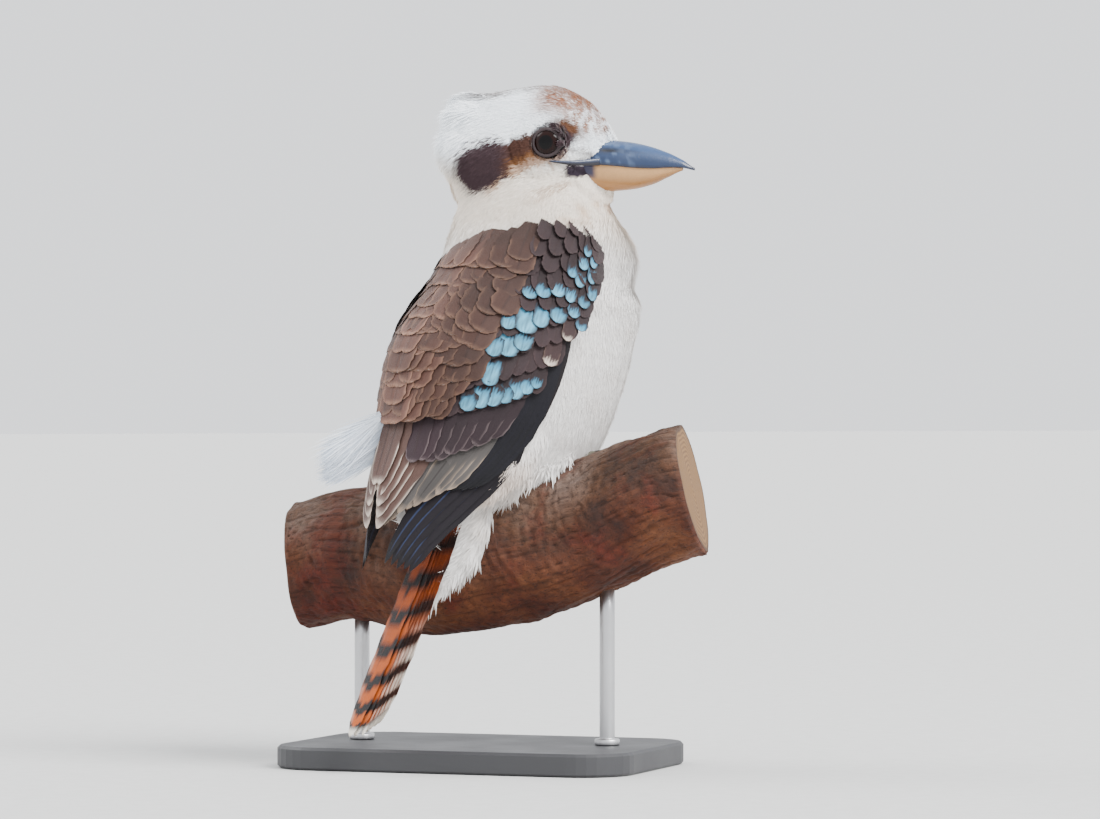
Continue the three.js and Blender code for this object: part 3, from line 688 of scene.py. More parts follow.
@dataclass
class Fold:
    """The folded wings' outer surface, in level sections of height, front, back and half width."""

    rows: tuple[tuple[float, ...], ...] = (
        (148, 80, 10, 33),
        (138, 84, 3, 37.5),
        (130, 88, -3, 41),
        (122, 92, -8.5, 44),
        (112, 97, -15, 47.5),
        (100, 97, -25, 50.5),
        (87, 94.5, -34, 52),
        (75, 92, -39, 52),
        (60, 87, -42.5, 50.5),
        (45, 79, -45, 47.5),
        (30, 66, -48.5, 43),
        (15, 40, -52.5, 37.5),
        (0, 10, -55.5, 31),
        (-14, -14, -57, 26),
        (-28, -30, -58.5, 22),
        (-42, -40, -60, 19),
    )
    front_edge: SmoothTable = field(
        default_factory=lambda: SmoothTable(
            ((146, 80), (132, 74), (120, 76), (100, 82), (82, 89), (45, 104), (6, 107))
        )
    )
    lag: float = 22.0  # degrees that the left wing's front edge lies further back
    coat_margins: tuple[float, float, float] = (-3.0, 7.0, 18.0)  # low, high and what the left side adds
    top: tuple[float, float] = (139.0, 126.0)  # at the shoulder and on the back
    foot: float = -42.0

    def __post_init__(self) -> None:
        """Makes the smooth table."""
        self.table = SmoothTable(self.rows)

    def point(self, height: Array, angle: Array, lift: Array) -> Array:
        """A point of the right wing's surface.

        Args:
            height: above the vent's level.
            angle: degrees from the breast round to the back.
            lift: how far it stands off the surface.

        Returns:
            Points of the body's frame.
        """
        front, back, half = np.moveaxis(self.table(height), -1, 0)
        a = np.radians(angle)
        reach = (front - back) / 2
        out = unit(np.stack([np.cos(a) / reach, -np.sin(a) / half, np.zeros_like(a)], -1))
        base = np.stack([(front + back) / 2 + reach * np.cos(a), -half * np.sin(a), height + 0 * a], -1)
        return base + out * np.asarray(lift, float)[..., None]

    def far_point(self, height: Array, angle: Array, lift: Array) -> Array:
        """A point of the left wing's surface, before it is mirrored to the left."""
        back = np.asarray(angle) + self.lag * (1 - ease(angle, 80, 140))
        return self.point(height, back, lift)

    def angle_at(self, height: float, across: float) -> float:
        """The angle at which the near wing stands at a place across the view."""
        angles = np.linspace(60, 176, 233)
        points = self.point(np.full_like(angles, height), angles, np.zeros_like(angles))
        seen = points[:, 0] * math.cos(VIEW_YAW) - points[:, 1] * math.sin(VIEW_YAW)
        return float(angles[np.argmin(np.abs(seen - across))])

    def stop(self, across: float, height: float, lift: float) -> tuple[float, float, float]:
        """A stop of a feather's path, as height, angle and lift, from a place on the view."""
        return height, self.angle_at(height, across), lift

    def covers(self, points: Array, spare: float = 0.0) -> Array:
        """Whether the folded wings hide each of these points of the body's surface.

        Args:
            points: places in the body's frame.
            spare: degrees in front of the lower wing's edge that count as hidden too.

        Returns:
            A truth value for each point.
        """
        front, back, half = np.moveaxis(self.table(points[:, 2]), -1, 0)
        reach = (front - back) / 2
        x = (points[:, 0] - (front + back) / 2) / reach
        angle = np.degrees(np.arctan2(np.abs(points[:, 1]) / half, x))
        low, high, left = self.coat_margins
        margin = low - spare + (high - low + spare) * ease(points[:, 2], 30, 92)
        edge = self.front_edge(points[:, 2])[:, 0] + margin + np.where(points[:, 1] > 0, left, 0)
        shoulder, back_top = self.top
        top = shoulder - (shoulder - back_top) * ease(angle, 90, 178)
        return (angle > edge) & (points[:, 2] < top) & (points[:, 2] > self.foot)


HEAD_TURN = math.radians(-50.0)
HEAD_MIDDLE = from_view(34.0, 20.0, 180.0)
HEAD_AXES = np.array(
    [
        [math.cos(HEAD_TURN), math.sin(HEAD_TURN), 0],
        [-math.sin(HEAD_TURN), math.cos(HEAD_TURN), 0],
        [0, 0, 1],
    ]
)
EYE_ALONG, EYE_SIDE, EYE_UP = 13.7, 19.3, 6.3  # the eyes' middles in the head's frame


def head_to_body(points: Array) -> Array:
    """Moves points of the head's own frame, along, to its left and up, into the body's frame."""
    return points @ HEAD_AXES + HEAD_MIDDLE


def body_to_head(points: Array) -> Array:
    """Moves points of the body's frame into the head's own frame."""
    return (points - HEAD_MIDDLE) @ HEAD_AXES.T


HEAD_FORM = SmoothTable(
    (
        (-43.5, 8, -18, 12),
        (-40.5, 20, -24, 19.5),
        (-34, 29, -28, 25),
        (-22, 34, -31, 29),
        (-6, 36.5, -32, 30),
        (8, 37.5, -31, 28.8),
        (18, 36.5, -29.5, 26.5),
        (26, 33, -28, 23),
        (33, 28, -26, 18.5),
        (39, 21, -24, 14.5),
        (43.5, 13.5, -22, 11),
        (46.5, 8.6, -20, 7.5),
    )
)


def cheek(along: Array, up: Array) -> Array:
    """How far to the side the head's surface stands at a place along it and a height."""
    top, bottom, half = np.moveaxis(HEAD_FORM(along), -1, 0)
    rise = np.clip((up - (top + bottom) / 2) / ((top - bottom) / 2), -1, 1)
    return half * np.sqrt(1 - rise**2)


@dataclass
class TailFrame:
    """The tail's own directions: along it, to the side and up from its upper face."""

    root: tuple[float, float, float] = (-9.0, 0.0, 14.0)
    fall: float = math.radians(25.4)
    length: float = 148.5

    def point(self, along: Array, side: Array, up: Array) -> Array:
        """Points of the body's frame from places on the tail."""
        down = np.array([-math.sin(self.fall), 0.0, -math.cos(self.fall)])
        off = np.array([-math.cos(self.fall), 0.0, math.sin(self.fall)])
        flat = np.stack([0 * side, side, 0 * side], -1)
        along, up = np.asarray(along)[..., None], np.asarray(up)[..., None]
        return np.array(self.root) + along * down + up * off + flat


# Feathers


Line = tuple[tuple[float, float], ...]
Surface = Callable[[Array, Array, Array], Array]
VANE_ROWS, VANE_COLUMNS = 18, 13
TAIL_ROWS, TAIL_COLUMNS = 44, 15


@dataclass(frozen=True)
class FeatherStyle:
    """How one kind of feather is marked."""

    base: tuple[float, float, float]
    fringe: tuple[float, float, float]
    fringe_width: float = 0.1
    fringe_share: float = 0.8
    root_shade: float = 0.75
    shaft: tuple[float, float, float] = (56, 42, 40)
    shaft_share: float = 0.4
    spot: tuple[float, float, float] | None = None
    spot_root: tuple[float, float, float] = (84, 150, 186)


class Kind(Enum):
    """The kinds of feather on a folded wing."""

    MANTLE = FeatherStyle((88, 64, 57), (146, 116, 100), 0.09, 0.5, 0.7)
    COVERT = FeatherStyle((60, 47, 49), (82, 66, 66), 0.1, 0.4, 0.7)
    SPOTTED = FeatherStyle((52, 40, 42), (70, 56, 56), 0.08, 0.3, 0.8, spot=(122, 170, 192))
    PALE_SPOT = FeatherStyle(
        (66, 50, 50), (110, 92, 84), 0.08, 0.5, 0.8, spot=(196, 184, 174), spot_root=(196, 184, 174)
    )
    GREATER = FeatherStyle((60, 46, 51), (146, 132, 132), 0.05, 0.45, 0.72)
    PRIMARY = FeatherStyle((20, 18, 29), (12, 11, 16), 0.12, 0.7, 0.85, (96, 112, 156), 0.6)
    LONG_PRIMARY = FeatherStyle((30, 24, 32), (18, 15, 20), 0.12, 0.7, 0.85, (92, 108, 150), 0.45)
    LEADING = FeatherStyle((30, 23, 27), (40, 31, 34), 0.1, 0.6, 0.85)
    SECONDARY = FeatherStyle((98, 94, 92), (180, 162, 146), 0.09, 0.7, 0.8, (50, 44, 44), 0.6)
    TERTIAL = FeatherStyle((114, 90, 83), (226, 212, 200), 0.08, 0.9, 0.75, (56, 40, 36), 0.6)


def paint(
    style: FeatherStyle, side: Array, along: Array, chance: Array, points: Array, spot: Array
) -> Array:
    """Colours a batch of feathers of one kind.

    Args:
        style: the kind's markings.
        side: place across the vane, from -1 to 1.
        along: place along it, from 0 to 1.
        chance: one random share for each feather.
        points: the feathers' points, for slow changes of tone.
        spot: where along each feather its pale spot starts.

    Returns:
        A linear colour for each point.
    """
    streak = np.sin(side * 19 + along * 8 + chance * 50) + np.sin(side * 33 - along * 13 + chance * 90)
    streak = 0.5 * streak
    tint = blend(tone(*style.base) * style.root_shade, tone(*style.base), ease(along, 0.3, 0.8))
    edge = np.abs(side) * ease(along, 0.25, 0.6)
    wide = style.fringe_width
    rim = np.maximum(ease(edge, 1 - 2.6 * wide, 1.0), ease(along, 1 - 1.6 * wide, 1 - 0.4 * wide))
    shown = style.fringe_share * (1 + 0.25 * streak)
    if style.spot is not None:
        start = spot + 0.09 * streak
        wet = ease(along, start - 0.05, start + 0.06)
        wet = wet * (1 - 0.9 * ease(np.abs(side) + 0.12 * streak, 0.62, 0.95))
        inner = 0.6 * (1 - ease(along, start, start + 0.22))
        bright = blend(tone(*style.spot), tone(*style.spot_root), inner)
        tint = blend(tint, bright * (1 + 0.3 * streak)[..., None], wet)
        shown = shown * (1 - wet)
    tint = blend(tint, tone(*style.fringe), np.clip(rim * shown, 0, 1))
    shaft = (1 - ease(np.abs(side), 0.03, 0.12)) * (1 - ease(along, 0.8, 0.95))
    tint = blend(tint, tone(*style.shaft), shaft * style.shaft_share)
    vary = 1 + 0.2 * (chance - 0.5) + 0.06 * streak + 0.08 * wobble(points, 16.0, 5)
    return tint * vary[..., None]


def run_through(stops: Array, t: Array) -> Array:
    """Smooth paths through evenly spaced stops.

    Args:
        stops: for each path its stops, each a row of values.
        t: shares of the path.

    Returns:
        For each path the values at every share.
    """
    n, k = stops.shape[:2]
    flat = np.moveaxis(stops, 1, 0).reshape(k, -1)
    table = SmoothTable(np.column_stack([np.linspace(0, 1, k), flat]))
    return np.moveaxis(table(t).reshape(len(t), n, -1), 1, 0)


@dataclass
class Batch:
    """Feathers of one kind, each along its own path over a surface."""

    surface: Surface
    stops: Array
    width: Array
    style: FeatherStyle
    blunt: float = 0.8
    tilt: float = 6.5
    arch: float = 60.0
    rows: int = VANE_ROWS
    columns: int = VANE_COLUMNS
    ragged: float = 0.045
    seed: int = 1
    shade: Array | float = 1.0
    spot: Array | float = 0.7

    def form(self) -> Form:
        """Builds the feathers as thin curved vanes.

        Returns:
            One form for the whole batch.
        """
        n = len(self.stops)
        draw = np.random.default_rng(self.seed)
        chance = draw.random(n)[:, None, None] + np.zeros((1, self.rows, self.columns))
        t = 1 - (1 - np.linspace(0, 1, self.rows)) ** 1.6
        s = np.linspace(-1, 1, self.columns)
        path = run_through(self.stops, t)
        middle = self.surface(path[..., 0], path[..., 1], path[..., 2])
        out = unit(self.surface(path[..., 0], path[..., 1], path[..., 2] + 1.0) - middle)
        along = unit(np.gradient(middle, axis=1))
        flat = unit(np.cross(out, along))
        lean = math.radians(self.tilt)
        side = flat * math.cos(lean) + np.cross(along, flat) * math.sin(lean)
        normal = np.cross(along, side)
        t0 = 0.35 + 0.4 * self.blunt
        q = np.clip((t - t0) / (1 - t0), 0, 1)
        tip = np.maximum(1 - q**2, 0.0) ** (0.95 - 0.45 * self.blunt)
        outline = (0.5 + 0.5 * ease(t, 0, 0.4)) * tip
        half = self.width[:, None] / 2 * np.maximum(outline, 0.03)
        waves = np.sin(t[:, None] * 41 + s * 5 + chance * 40)
        waves = waves + np.sin(t[:, None] * 83 - s * 9 + chance * 70)
        offset = s * half[..., None] * (1 + self.ragged * waves * np.abs(s) ** 3)
        points = middle[:, :, None] + side[:, :, None] * offset[..., None]
        points = points + normal[:, :, None] * (-(offset**2) / (2 * self.arch))[..., None]
        tatter = self.ragged * 0.5 * np.sin(s * 14 + chance * 60) * ease(t, 0.8, 1.0)[:, None]
        points = points + along[:, :, None] * (tatter * self.width[:, None, None])[..., None]
        sides = np.broadcast_to(s, chance.shape)
        alongs = np.broadcast_to(t[:, None], chance.shape)
        spot = np.broadcast_to(self.spot, n)[:, None, None]
        tint = paint(self.style, sides, alongs, chance, points, spot)
        tint = tint * np.broadcast_to(self.shade, n)[:, None, None, None]
        vane = np.stack([sides, alongs, chance], -1)
        cell = grid_faces(self.rows, self.columns)[:, ::-1]
        return flat_form(points, repeated(cell, n, self.rows * self.columns), tint, vane)


def chart_by_feather(form: Form, per_feather: int) -> Form:
    """Gives every feather its own cell of the bake's map.

    Args:
        form: feathers with the same number of points each.
        per_feather: that number.

    Returns:
        The form with its chart.
    """
    count = len(form.points) // per_feather
    across = math.ceil(math.sqrt(count * 0.5))
    number = np.arange(len(form.points)) // per_feather
    rows = math.ceil(count / across)
    u = (number % across + 0.5 + 0.44 * form.vane[:, 0]) / across
    v = (number // across + 0.05 + 0.9 * form.vane[:, 1]) / rows
    form.chart = np.stack([u, v], -1)
    return form


@dataclass
class Row:
    """A row of feathers between its first and its last, whose middles run through places on the view."""

    kind: Kind
    count: int
    first: Line
    last: Line
    width: float
    lift: tuple[float, float]
    blunt: float
    sag: float = 0.0

    def batch(self, fold: Fold, surface: Surface, seed: int) -> Batch:
        """The row as a batch of feathers on a wing.

        Args:
            fold: the wing's form, which tells the angle of each place.
            surface: the near or the far wing's surface.
            seed: for the small differences between feathers.

        Returns:
            The batch.
        """
        draw = np.random.default_rng(seed)
        ends = np.array([[fold.stop(u, v, 0) for u, v in line] for line in (self.first, self.last)])
        share = np.linspace(0, 1, self.count)[:, None, None]
        stops = ends[:1] * (1 - share) + ends[1:] * share
        stops[:, -1, 0] += self.sag * np.sin(np.pi * share[:, 0, 0]) + draw.uniform(-1, 1, self.count)
        stops[:, -1, 1] += draw.uniform(-0.8, 0.8, self.count)
        stops[..., 2] = np.linspace(*self.lift, stops.shape[1])
        stops[:, -1, 2] += draw.uniform(-0.3, 0.3, self.count)
        width = self.width * draw.uniform(0.93, 1.07, self.count)
        return Batch(surface, stops, width, self.kind.value, self.blunt, seed=seed)


@dataclass
class Wing:
    """Both folded wings: rows of remiges and coverts, the blue spots, and the scaly mantle."""

    fold: Fold
    quills: tuple[Row, ...] = (
        Row(
            Kind.LONG_PRIMARY,
            5,
            first=((30, 46), (1, 0), (-30, -35)),
            last=((8, 40), (-16, 6), (-42, -31)),
            width=10,
            lift=(-2.0, 1.2),
            blunt=0.3,
        ),
        Row(
            Kind.LEADING,
            2,
            first=((55, 96), (44, 62), (22, 25)),
            last=((52, 90), (38, 54), (10, 14)),
            width=9,
            lift=(-1.4, 0.0),
            blunt=0.4,
        ),
        Row(
            Kind.PRIMARY,
            5,
            first=((50, 88), (34, 48), (4, 8)),
            last=((32, 66), (14, 36), (-9, 6)),
            width=12,
            lift=(-1.0, 1.7),
            blunt=0.4,
        ),
        Row(
            Kind.SECONDARY,
            8,
            first=((19, 50), (6, 28), (-11, 6)),
            last=((-12, 46), (-26, 18), (-41, -11)),
            width=10,
            lift=(-0.4, 2.5),
            blunt=0.45,
        ),
        Row(
            Kind.TERTIAL,
            5,
            first=((-12, 50), (-28, 18), (-44, -13)),
            last=((-36, 54), (-43, 32), (-48, 9)),
            width=14,
            lift=(0.2, 3.6),
            blunt=0.6,
        ),
        Row(
            Kind.GREATER,
            8,
            first=((30, 64), (20, 48), (9, 34)),
            last=((-18, 60), (-23, 40), (-28, 20)),
            width=13,
            lift=(0.0, 3.2),
            blunt=0.75,
            sag=-3.0,
        ),
    )
    # the first and the last tip of each row of plain coverts, across the view and in height
    covert_tips: tuple[Line, ...] = (
        ((33, 56), (-10, 43)),
        ((43, 70), (-2, 57)),
        ((51, 83), (4, 71)),
        ((57, 95), (12, 84)),
        ((61, 105), (20, 96)),
        ((63, 114), (25, 107)),
        ((64, 123), (30, 117)),
        ((63, 131), (34, 127)),
        ((60, 139), (37, 136)),
    )
    # tip across the view and in height, the feather's width and the spot's length
    spots: tuple[tuple[float, float, float, float], ...] = (
        (-1, 47, 8, 8), (5, 48.5, 8, 10), (11, 49.5, 9, 9), (17, 51, 8, 8), (22.5, 53, 8, 8),
        (28, 55.5, 7, 7), (33, 58.5, 6, 5), (10, 60, 8, 12), (12, 75, 8, 10), (19, 75, 10, 11),
        (26.5, 78, 9, 8), (20, 89, 8, 8), (28, 87, 11, 12), (35.5, 90, 8, 10), (44, 92.5, 9, 7),
        (52, 95, 7, 5), (30.5, 105, 8, 5), (37, 105.5, 8, 6), (44, 106, 8, 6), (50.5, 103, 6, 6),
        (57, 100, 7, 5), (61, 104, 6, 6), (55, 111, 6, 6), (61, 113, 6, 6), (51.5, 116, 6, 5),
        (57, 120, 6, 6), (62, 121, 5, 5), (56, 88, 7, 4), (59, 127, 5, 4),
    )
    pale_spots: tuple[tuple[float, float, float, float], ...] = (
        (40, 70, 8, 4), (-15, 45.5, 10, 3), (49, 83, 7, 3),
    )
    spotted_length: float = 19.0
    # the mantle's outer edge: height and place across the view
    edge: SmoothTable = field(
        default_factory=lambda: SmoothTable(
            (
                (44, -17),
                (47.4, -5),
                (60.5, 2.6),
                (73.7, 7.9),
                (84, 10.5),
                (94.7, 21),
                (109, 27.6),
                (124, 34),
                (138, 38),
            )
        )
    )
    mantle_rows: int = 10
    mantle_tips: tuple[float, float] = (46.0, 124.0)
    spine: float = 178.0  # the angle at which the two wings meet on the back

    def coverts(self, surface: Surface) -> Form:
        """The plain dark coverts, in rows up the shoulder."""
        forms = []
        for i, ((u0, v0), (u1, v1)) in enumerate(self.covert_tips):
            rise = 22 - 1.1 * i
            first, last = ((u0 + 4, v0 + rise), (u0, v0)), ((u1 + 7, v1 + rise), (u1, v1))
            row = Row(Kind.COVERT, 8 - i // 2, first, last, 10.5, (-0.6, 3.1 + 0.04 * i), 0.5)
            forms.append(row.batch(self.fold, surface, 60 + i).form())
        return forms[0].joined(*forms[1:])

    def spotted(self, surface: Surface, kind: Kind) -> Form:
        """The coverts with a pale spot at the tip.

        Args:
            surface: the near or the far wing's surface.
            kind: the blue spots or the pale ones.

        Returns:
            One form for all of them.
        """
        rows = np.array(self.spots if kind is Kind.SPOTTED else self.pale_spots, float)
        rows = rows[np.argsort(rows[:, 1])]
        long = self.spotted_length
        stops = [
            (
                self.fold.stop(u + 6, v + long - 1, 0.2),
                self.fold.stop(u + 2.6, v + 0.45 * long, 2.2),
                self.fold.stop(u, v, 3.7),
            )
            for u, v, _, _ in rows
        ]
        starts = 1 - rows[:, 3] / long
        width = rows[:, 2] * 1.12
        return Batch(surface, np.array(stops), width, kind.value, 0.97, seed=91, spot=starts).form()

    def mantle(self, surface: Surface) -> Form:
        """The mantle and scapulars: scale-like feathers in rows from the collar down the back."""
        forms = []
        draw = np.random.default_rng(SEED)
        for row, tip in enumerate(np.linspace(*self.mantle_tips, self.mantle_rows)):
            share = row / (self.mantle_rows - 1)
            outer = self.fold.angle_at(tip, float(self.edge(tip)[0]) - 7)
            count = 7 if share < 0.7 else 6
            angles = np.linspace(outer, self.spine, count) + (2.2 if row % 2 else -1.2)
            slope = (self.spine - angles) / 50
            heights = tip + 5 * slope - 4 + draw.uniform(-2.0, 2.0, count)
            from_angles = np.minimum(angles - 3, self.spine)
            roots = np.stack([heights + 31 - 11 * share, from_angles, np.full(count, 0.4)], -1)
            lift = 4.2 + draw.uniform(-0.3, 0.3, count)
            tips = np.stack([heights, np.minimum(angles, self.spine), lift], -1)
            stops = np.stack([roots, 0.5 * (roots + tips) + [0, 0, 0.7], tips], 1)
            width = (19 - 3 * share) * draw.uniform(0.85, 1.1, count)
            shade = (0.72 + 1.15 * np.linspace(0, 1, count) ** 2.2) * draw.uniform(0.86, 1.14, count)
            batch = Batch(surface, stops, width, Kind.MANTLE.value, 0.9, seed=100 + row, shade=shade)
            forms.append(batch.form())
        return forms[0].joined(*forms[1:])

    def build(self, finish: bpy.types.Material) -> None:
        """Builds both wings and lets each replace its node."""
        for name, surface in (("right_wing", self.fold.point), ("left_wing", self.fold.far_point)):
            forms = [row.batch(self.fold, surface, 20 + i).form() for i, row in enumerate(self.quills)]
            forms.append(self.coverts(surface))
            forms += [self.spotted(surface, kind) for kind in (Kind.SPOTTED, Kind.PALE_SPOT)]
            form = forms[0].joined(*forms[1:], self.mantle(surface))
            form = chart_by_feather(form, VANE_ROWS * VANE_COLUMNS)
            if name == "left_wing":
                form = form.mirrored()
            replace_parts(form.as_object(name + "_feathers", finish, "wing_plumage"), name)


@dataclass
class Tail:
    """The closed tail: rufous feathers with dark chevrons and white tips, the middle pair on top."""

    tail: TailFrame = field(default_factory=TailFrame)
    pairs: int = 5
    layer: float = 1.25
    step: float = 2.2
    bar_every: float = 15.5

    def shade(self, side: Array, along: Array, outer: float) -> Array:
        """Colours tail feathers.

        Args:
            side: place across each vane, with the outer edge at 1.
            along: place along it.
            outer: 0 for the middle pair and 1 for the outermost.

        Returns:
            A linear colour for each point.
        """
        rufous = blend(tone(146, 74, 24), tone(200, 108, 30), ease(along, 0.3, 0.85))
        mm = along * self.tail.length + 5.5 * np.abs(side) + 3 * outer
        phase = np.mod(mm, self.bar_every) / self.bar_every
        bar = ease(phase, 0.0, 0.08) * (1 - ease(phase, 0.5, 0.57)) * ease(along, 0.12, 0.2)
        tint = blend(rufous, tone(20, 14, 16), bar * (1 - 0.1 * outer))
        white = ease(side, 0.4, 0.65) * ease(along, 0.52, 0.7) * (0.2 + 0.8 * outer)
        white = np.maximum(white * (1 - bar), ease(along, 0.93 - 0.06 * outer, 0.97 - 0.04 * outer))
        return blend(tint, tone(232, 226, 216), white)

    def feather(
        self, inner: float, reach: float, layer: int, length: float, outer: float, seed: int
    ) -> Form:
        """One tail feather.

        Args:
            inner: where its inner edge lies, to the side.
            reach: where its outer edge lies.
            layer: how many feathers lie over it.
            length: from the tail's root to the feather's tip.
            outer: 0 for the middle pair and 1 for the outermost.
            seed: for its small differences.

        Returns:
            The coloured feather.
        """
        middle, width = (inner + reach) / 2, abs(reach - inner)
        root = (0.0, middle * 0.75, -self.layer * layer)
        stops = np.array([[root, (length, middle, -self.layer * layer + 0.4)]])
        batch = Batch(
            self.tail.point,
            stops,
            np.array([width]),
            Kind.PRIMARY.value,
            0.8,
            tilt=0.0,
            rows=TAIL_ROWS,
            columns=TAIL_COLUMNS,
            seed=seed,
        )
        form = batch.form()
        side, along = form.vane[:, 0], form.vane[:, 1]
        facing = np.sign((form.points[:, 1] - middle) * side).mean() * (1.0 if reach > 0 else -1.0)
        form.tint = self.shade(side * (facing if facing else 1.0), along, outer)
        form.tint *= (1 + 0.08 * wobble(form.points, 14.0, seed))[:, None]
        return form

    def build(self, finish: bpy.types.Material) -> None:
        """Builds the tail and lets it replace its node."""
        forms = [
            self.feather(-6.5, 9.5, 0, self.tail.length, 0.0, 1),
            self.feather(-9.5, 6.5, 1, self.tail.length - 1, 0.0, 2),
        ]
        for pair in range(1, self.pairs + 1):
            for side in (1, -1):
                reach = side * (9.5 + 1.1 * pair)
                length = self.tail.length - self.step * pair
                forms.append(self.feather(side * 0.6, reach, pair + 1, length, pair / self.pairs, 3 + pair))
        form = chart_by_feather(forms[0].joined(*forms[1:]), TAIL_ROWS * TAIL_COLUMNS)
        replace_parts(form.as_object("tail_feathers", finish, "tail_plumage"), "tail")


# The skin and its coat


def gape_fold(along: Array, up: Array, long: float, high: float) -> Array:
    """Below 1 inside the dark bare fold at the corner of the gape, an ellipse of two half sizes."""
    return ((along - 28.5) / long) ** 2 + ((up + 8.2 + 0.25 * (28.5 - along)) / high) ** 2


class Markings:
    """The colours of skin and coat at any place on the body."""

    # the upper and the lower edge of the dark mask: places along the head and up it
    MASK_TOP = SmoothTable(
        ((-39, 1), (-31, 5), (-24, 7.5), (-12, 8), (-4, 8), (4, 11), (9, 15), (16, 17), (22, 15), (28, 10))
    )
    MASK_FOOT = SmoothTable(
        (
            (-39, -10),
            (-31, -19),
            (-24, -21),
            (-18, -19),
            (-12, -15),
            (-5, -9),
            (3, -5),
            (11, -3),
            (18, -2),
            (24, 3),
            (28, 7),
        )
    )
    WHITE = tone(240, 243, 246)
    CREAM = tone(232, 224, 214)
    BREAST = tone(226, 224, 222)
    DARK = tone(76, 61, 65)
    BROWN = tone(86, 60, 52)
    BUFF = tone(168, 122, 84)

    def at(self, points: Array) -> Array:
        """The coat's colour.

        Args:
            points: places in the body's frame.

        Returns:
            A linear colour for each.
        """
        tint = blend(self.BREAST, self.CREAM, ease(points[:, 2], 118, 150) * 0.8)
        flank = ease(points[:, 2], 34, 6) * ease(np.abs(points[:, 1]), 12, 26) * ease(points[:, 0], 30, 0)
        tint = blend(tint, tone(190, 160, 132), 0.45 * flank)
        soft = wobble(points, 9.0, 3)
        tint = blend(tint, self.BUFF, 0.08 * ease(soft, 0.3, 1.0))
        head = self.head(body_to_head(points))
        return blend(tint, head[:, :3], head[:, 3])

    def head(self, place: Array) -> Array:
        """The head's colour with, in a fourth column, how far it holds."""
        x, s, z = place[:, 0], np.abs(place[:, 1]), place[:, 2]
        fine, coarse = wobble(place, 2.6, 8), wobble(place, 7.0, 9)
        tint = blend(self.CREAM, self.WHITE, ease(z, -14, 6))
        cap = (1 - ease(s + 2 * coarse, 8, 15)) * ease(z, 24, 31) * ease(x, -40, -30)
        tint = blend(tint, tone(96, 68, 52), cap * (0.55 + 0.35 * ease(fine, -0.2, 0.5)))
        crest = ease(x, 0, 12) * (1 - ease(x, 34, 42)) * ease(z, 19, 29) * ease(fine, -1.1, 0.0)
        tint = blend(tint, tone(150, 90, 50), 0.95 * crest)
        fleck = ease(x, 14, 26) * ease(z, 8, 16) * ease(wobble(place, 2.2, 4), -0.1, 0.35)
        tint = blend(tint, tone(156, 98, 58), 0.9 * fleck)
        brow = np.exp(-(((x - 24) / 7) ** 2) - ((z - 14 - 0.35 * (24 - x)) / 4.5) ** 2) * ease(s, 8, 14)
        tint = blend(tint, tone(112, 78, 60), np.clip(brow * 1.5, 0, 1))
        top, foot = self.MASK_TOP(x)[:, 0] + 0.9 * fine, self.MASK_FOOT(x)[:, 0] + 1.6 * fine
        side = ease(s, 9, 13)
        under = ease(z, foot - 5.5, foot - 2) * (1 - ease(z, foot, foot + 3))
        under = under * ease(x, -24, -14) * (1 - ease(x, 22, 26))
        tint = blend(tint, self.BUFF, 0.75 * under * side)
        inside = ease(z, foot - 1.0, foot + 1.6) * (1 - ease(z, top - 1.6, top + 1.0))
        inside = inside * ease(x, -42, -37) * (1 - ease(x, 26, 30)) * side
        mask = blend(self.DARK, self.BROWN, ease(x + 3 * coarse, -13, -4) * (1 - ease(x, 4, 10)))
        warm = 0.5 * ease(x, -12, -2) * (1 - ease(z, foot + 1, foot + 7)) * (1 - ease(x, 12, 18))
        mask = blend(mask, self.BUFF, warm)
        tint = blend(tint, mask, inside)
        line = np.exp(-(((z - (-23.5 + 0.36 * (x - 4))) / 1.1) ** 2))
        line = line * ease(x, -2, 8) * (1 - ease(x, 22, 28)) * side
        tint = blend(tint, self.BUFF * 0.8, np.clip(0.75 * line, 0, 1))
        mottle = ease(x, 4, 22) * (1 - ease(z, -26, -20)) * ease(coarse, 0.0, 0.7)
        tint = blend(tint, tone(206, 176, 150), 0.6 * mottle)
        fold = gape_fold(x, z, 7.0, 3.8)
        tint = blend(tint, tone(58, 48, 60), (1 - ease(fold, 0.7, 1.1)) * (s > 6))
        lores = np.exp(-(((z - 2.5 + 0.14 * (x - 24)) / 1.2) ** 2))
        lores = lores * ease(x, 22, 26) * (1 - ease(x, 36, 40))
        tint = blend(tint, tone(96, 72, 62), 0.7 * lores * (s > 6))
        return np.column_stack([tint, ease(z, -44, -30)])


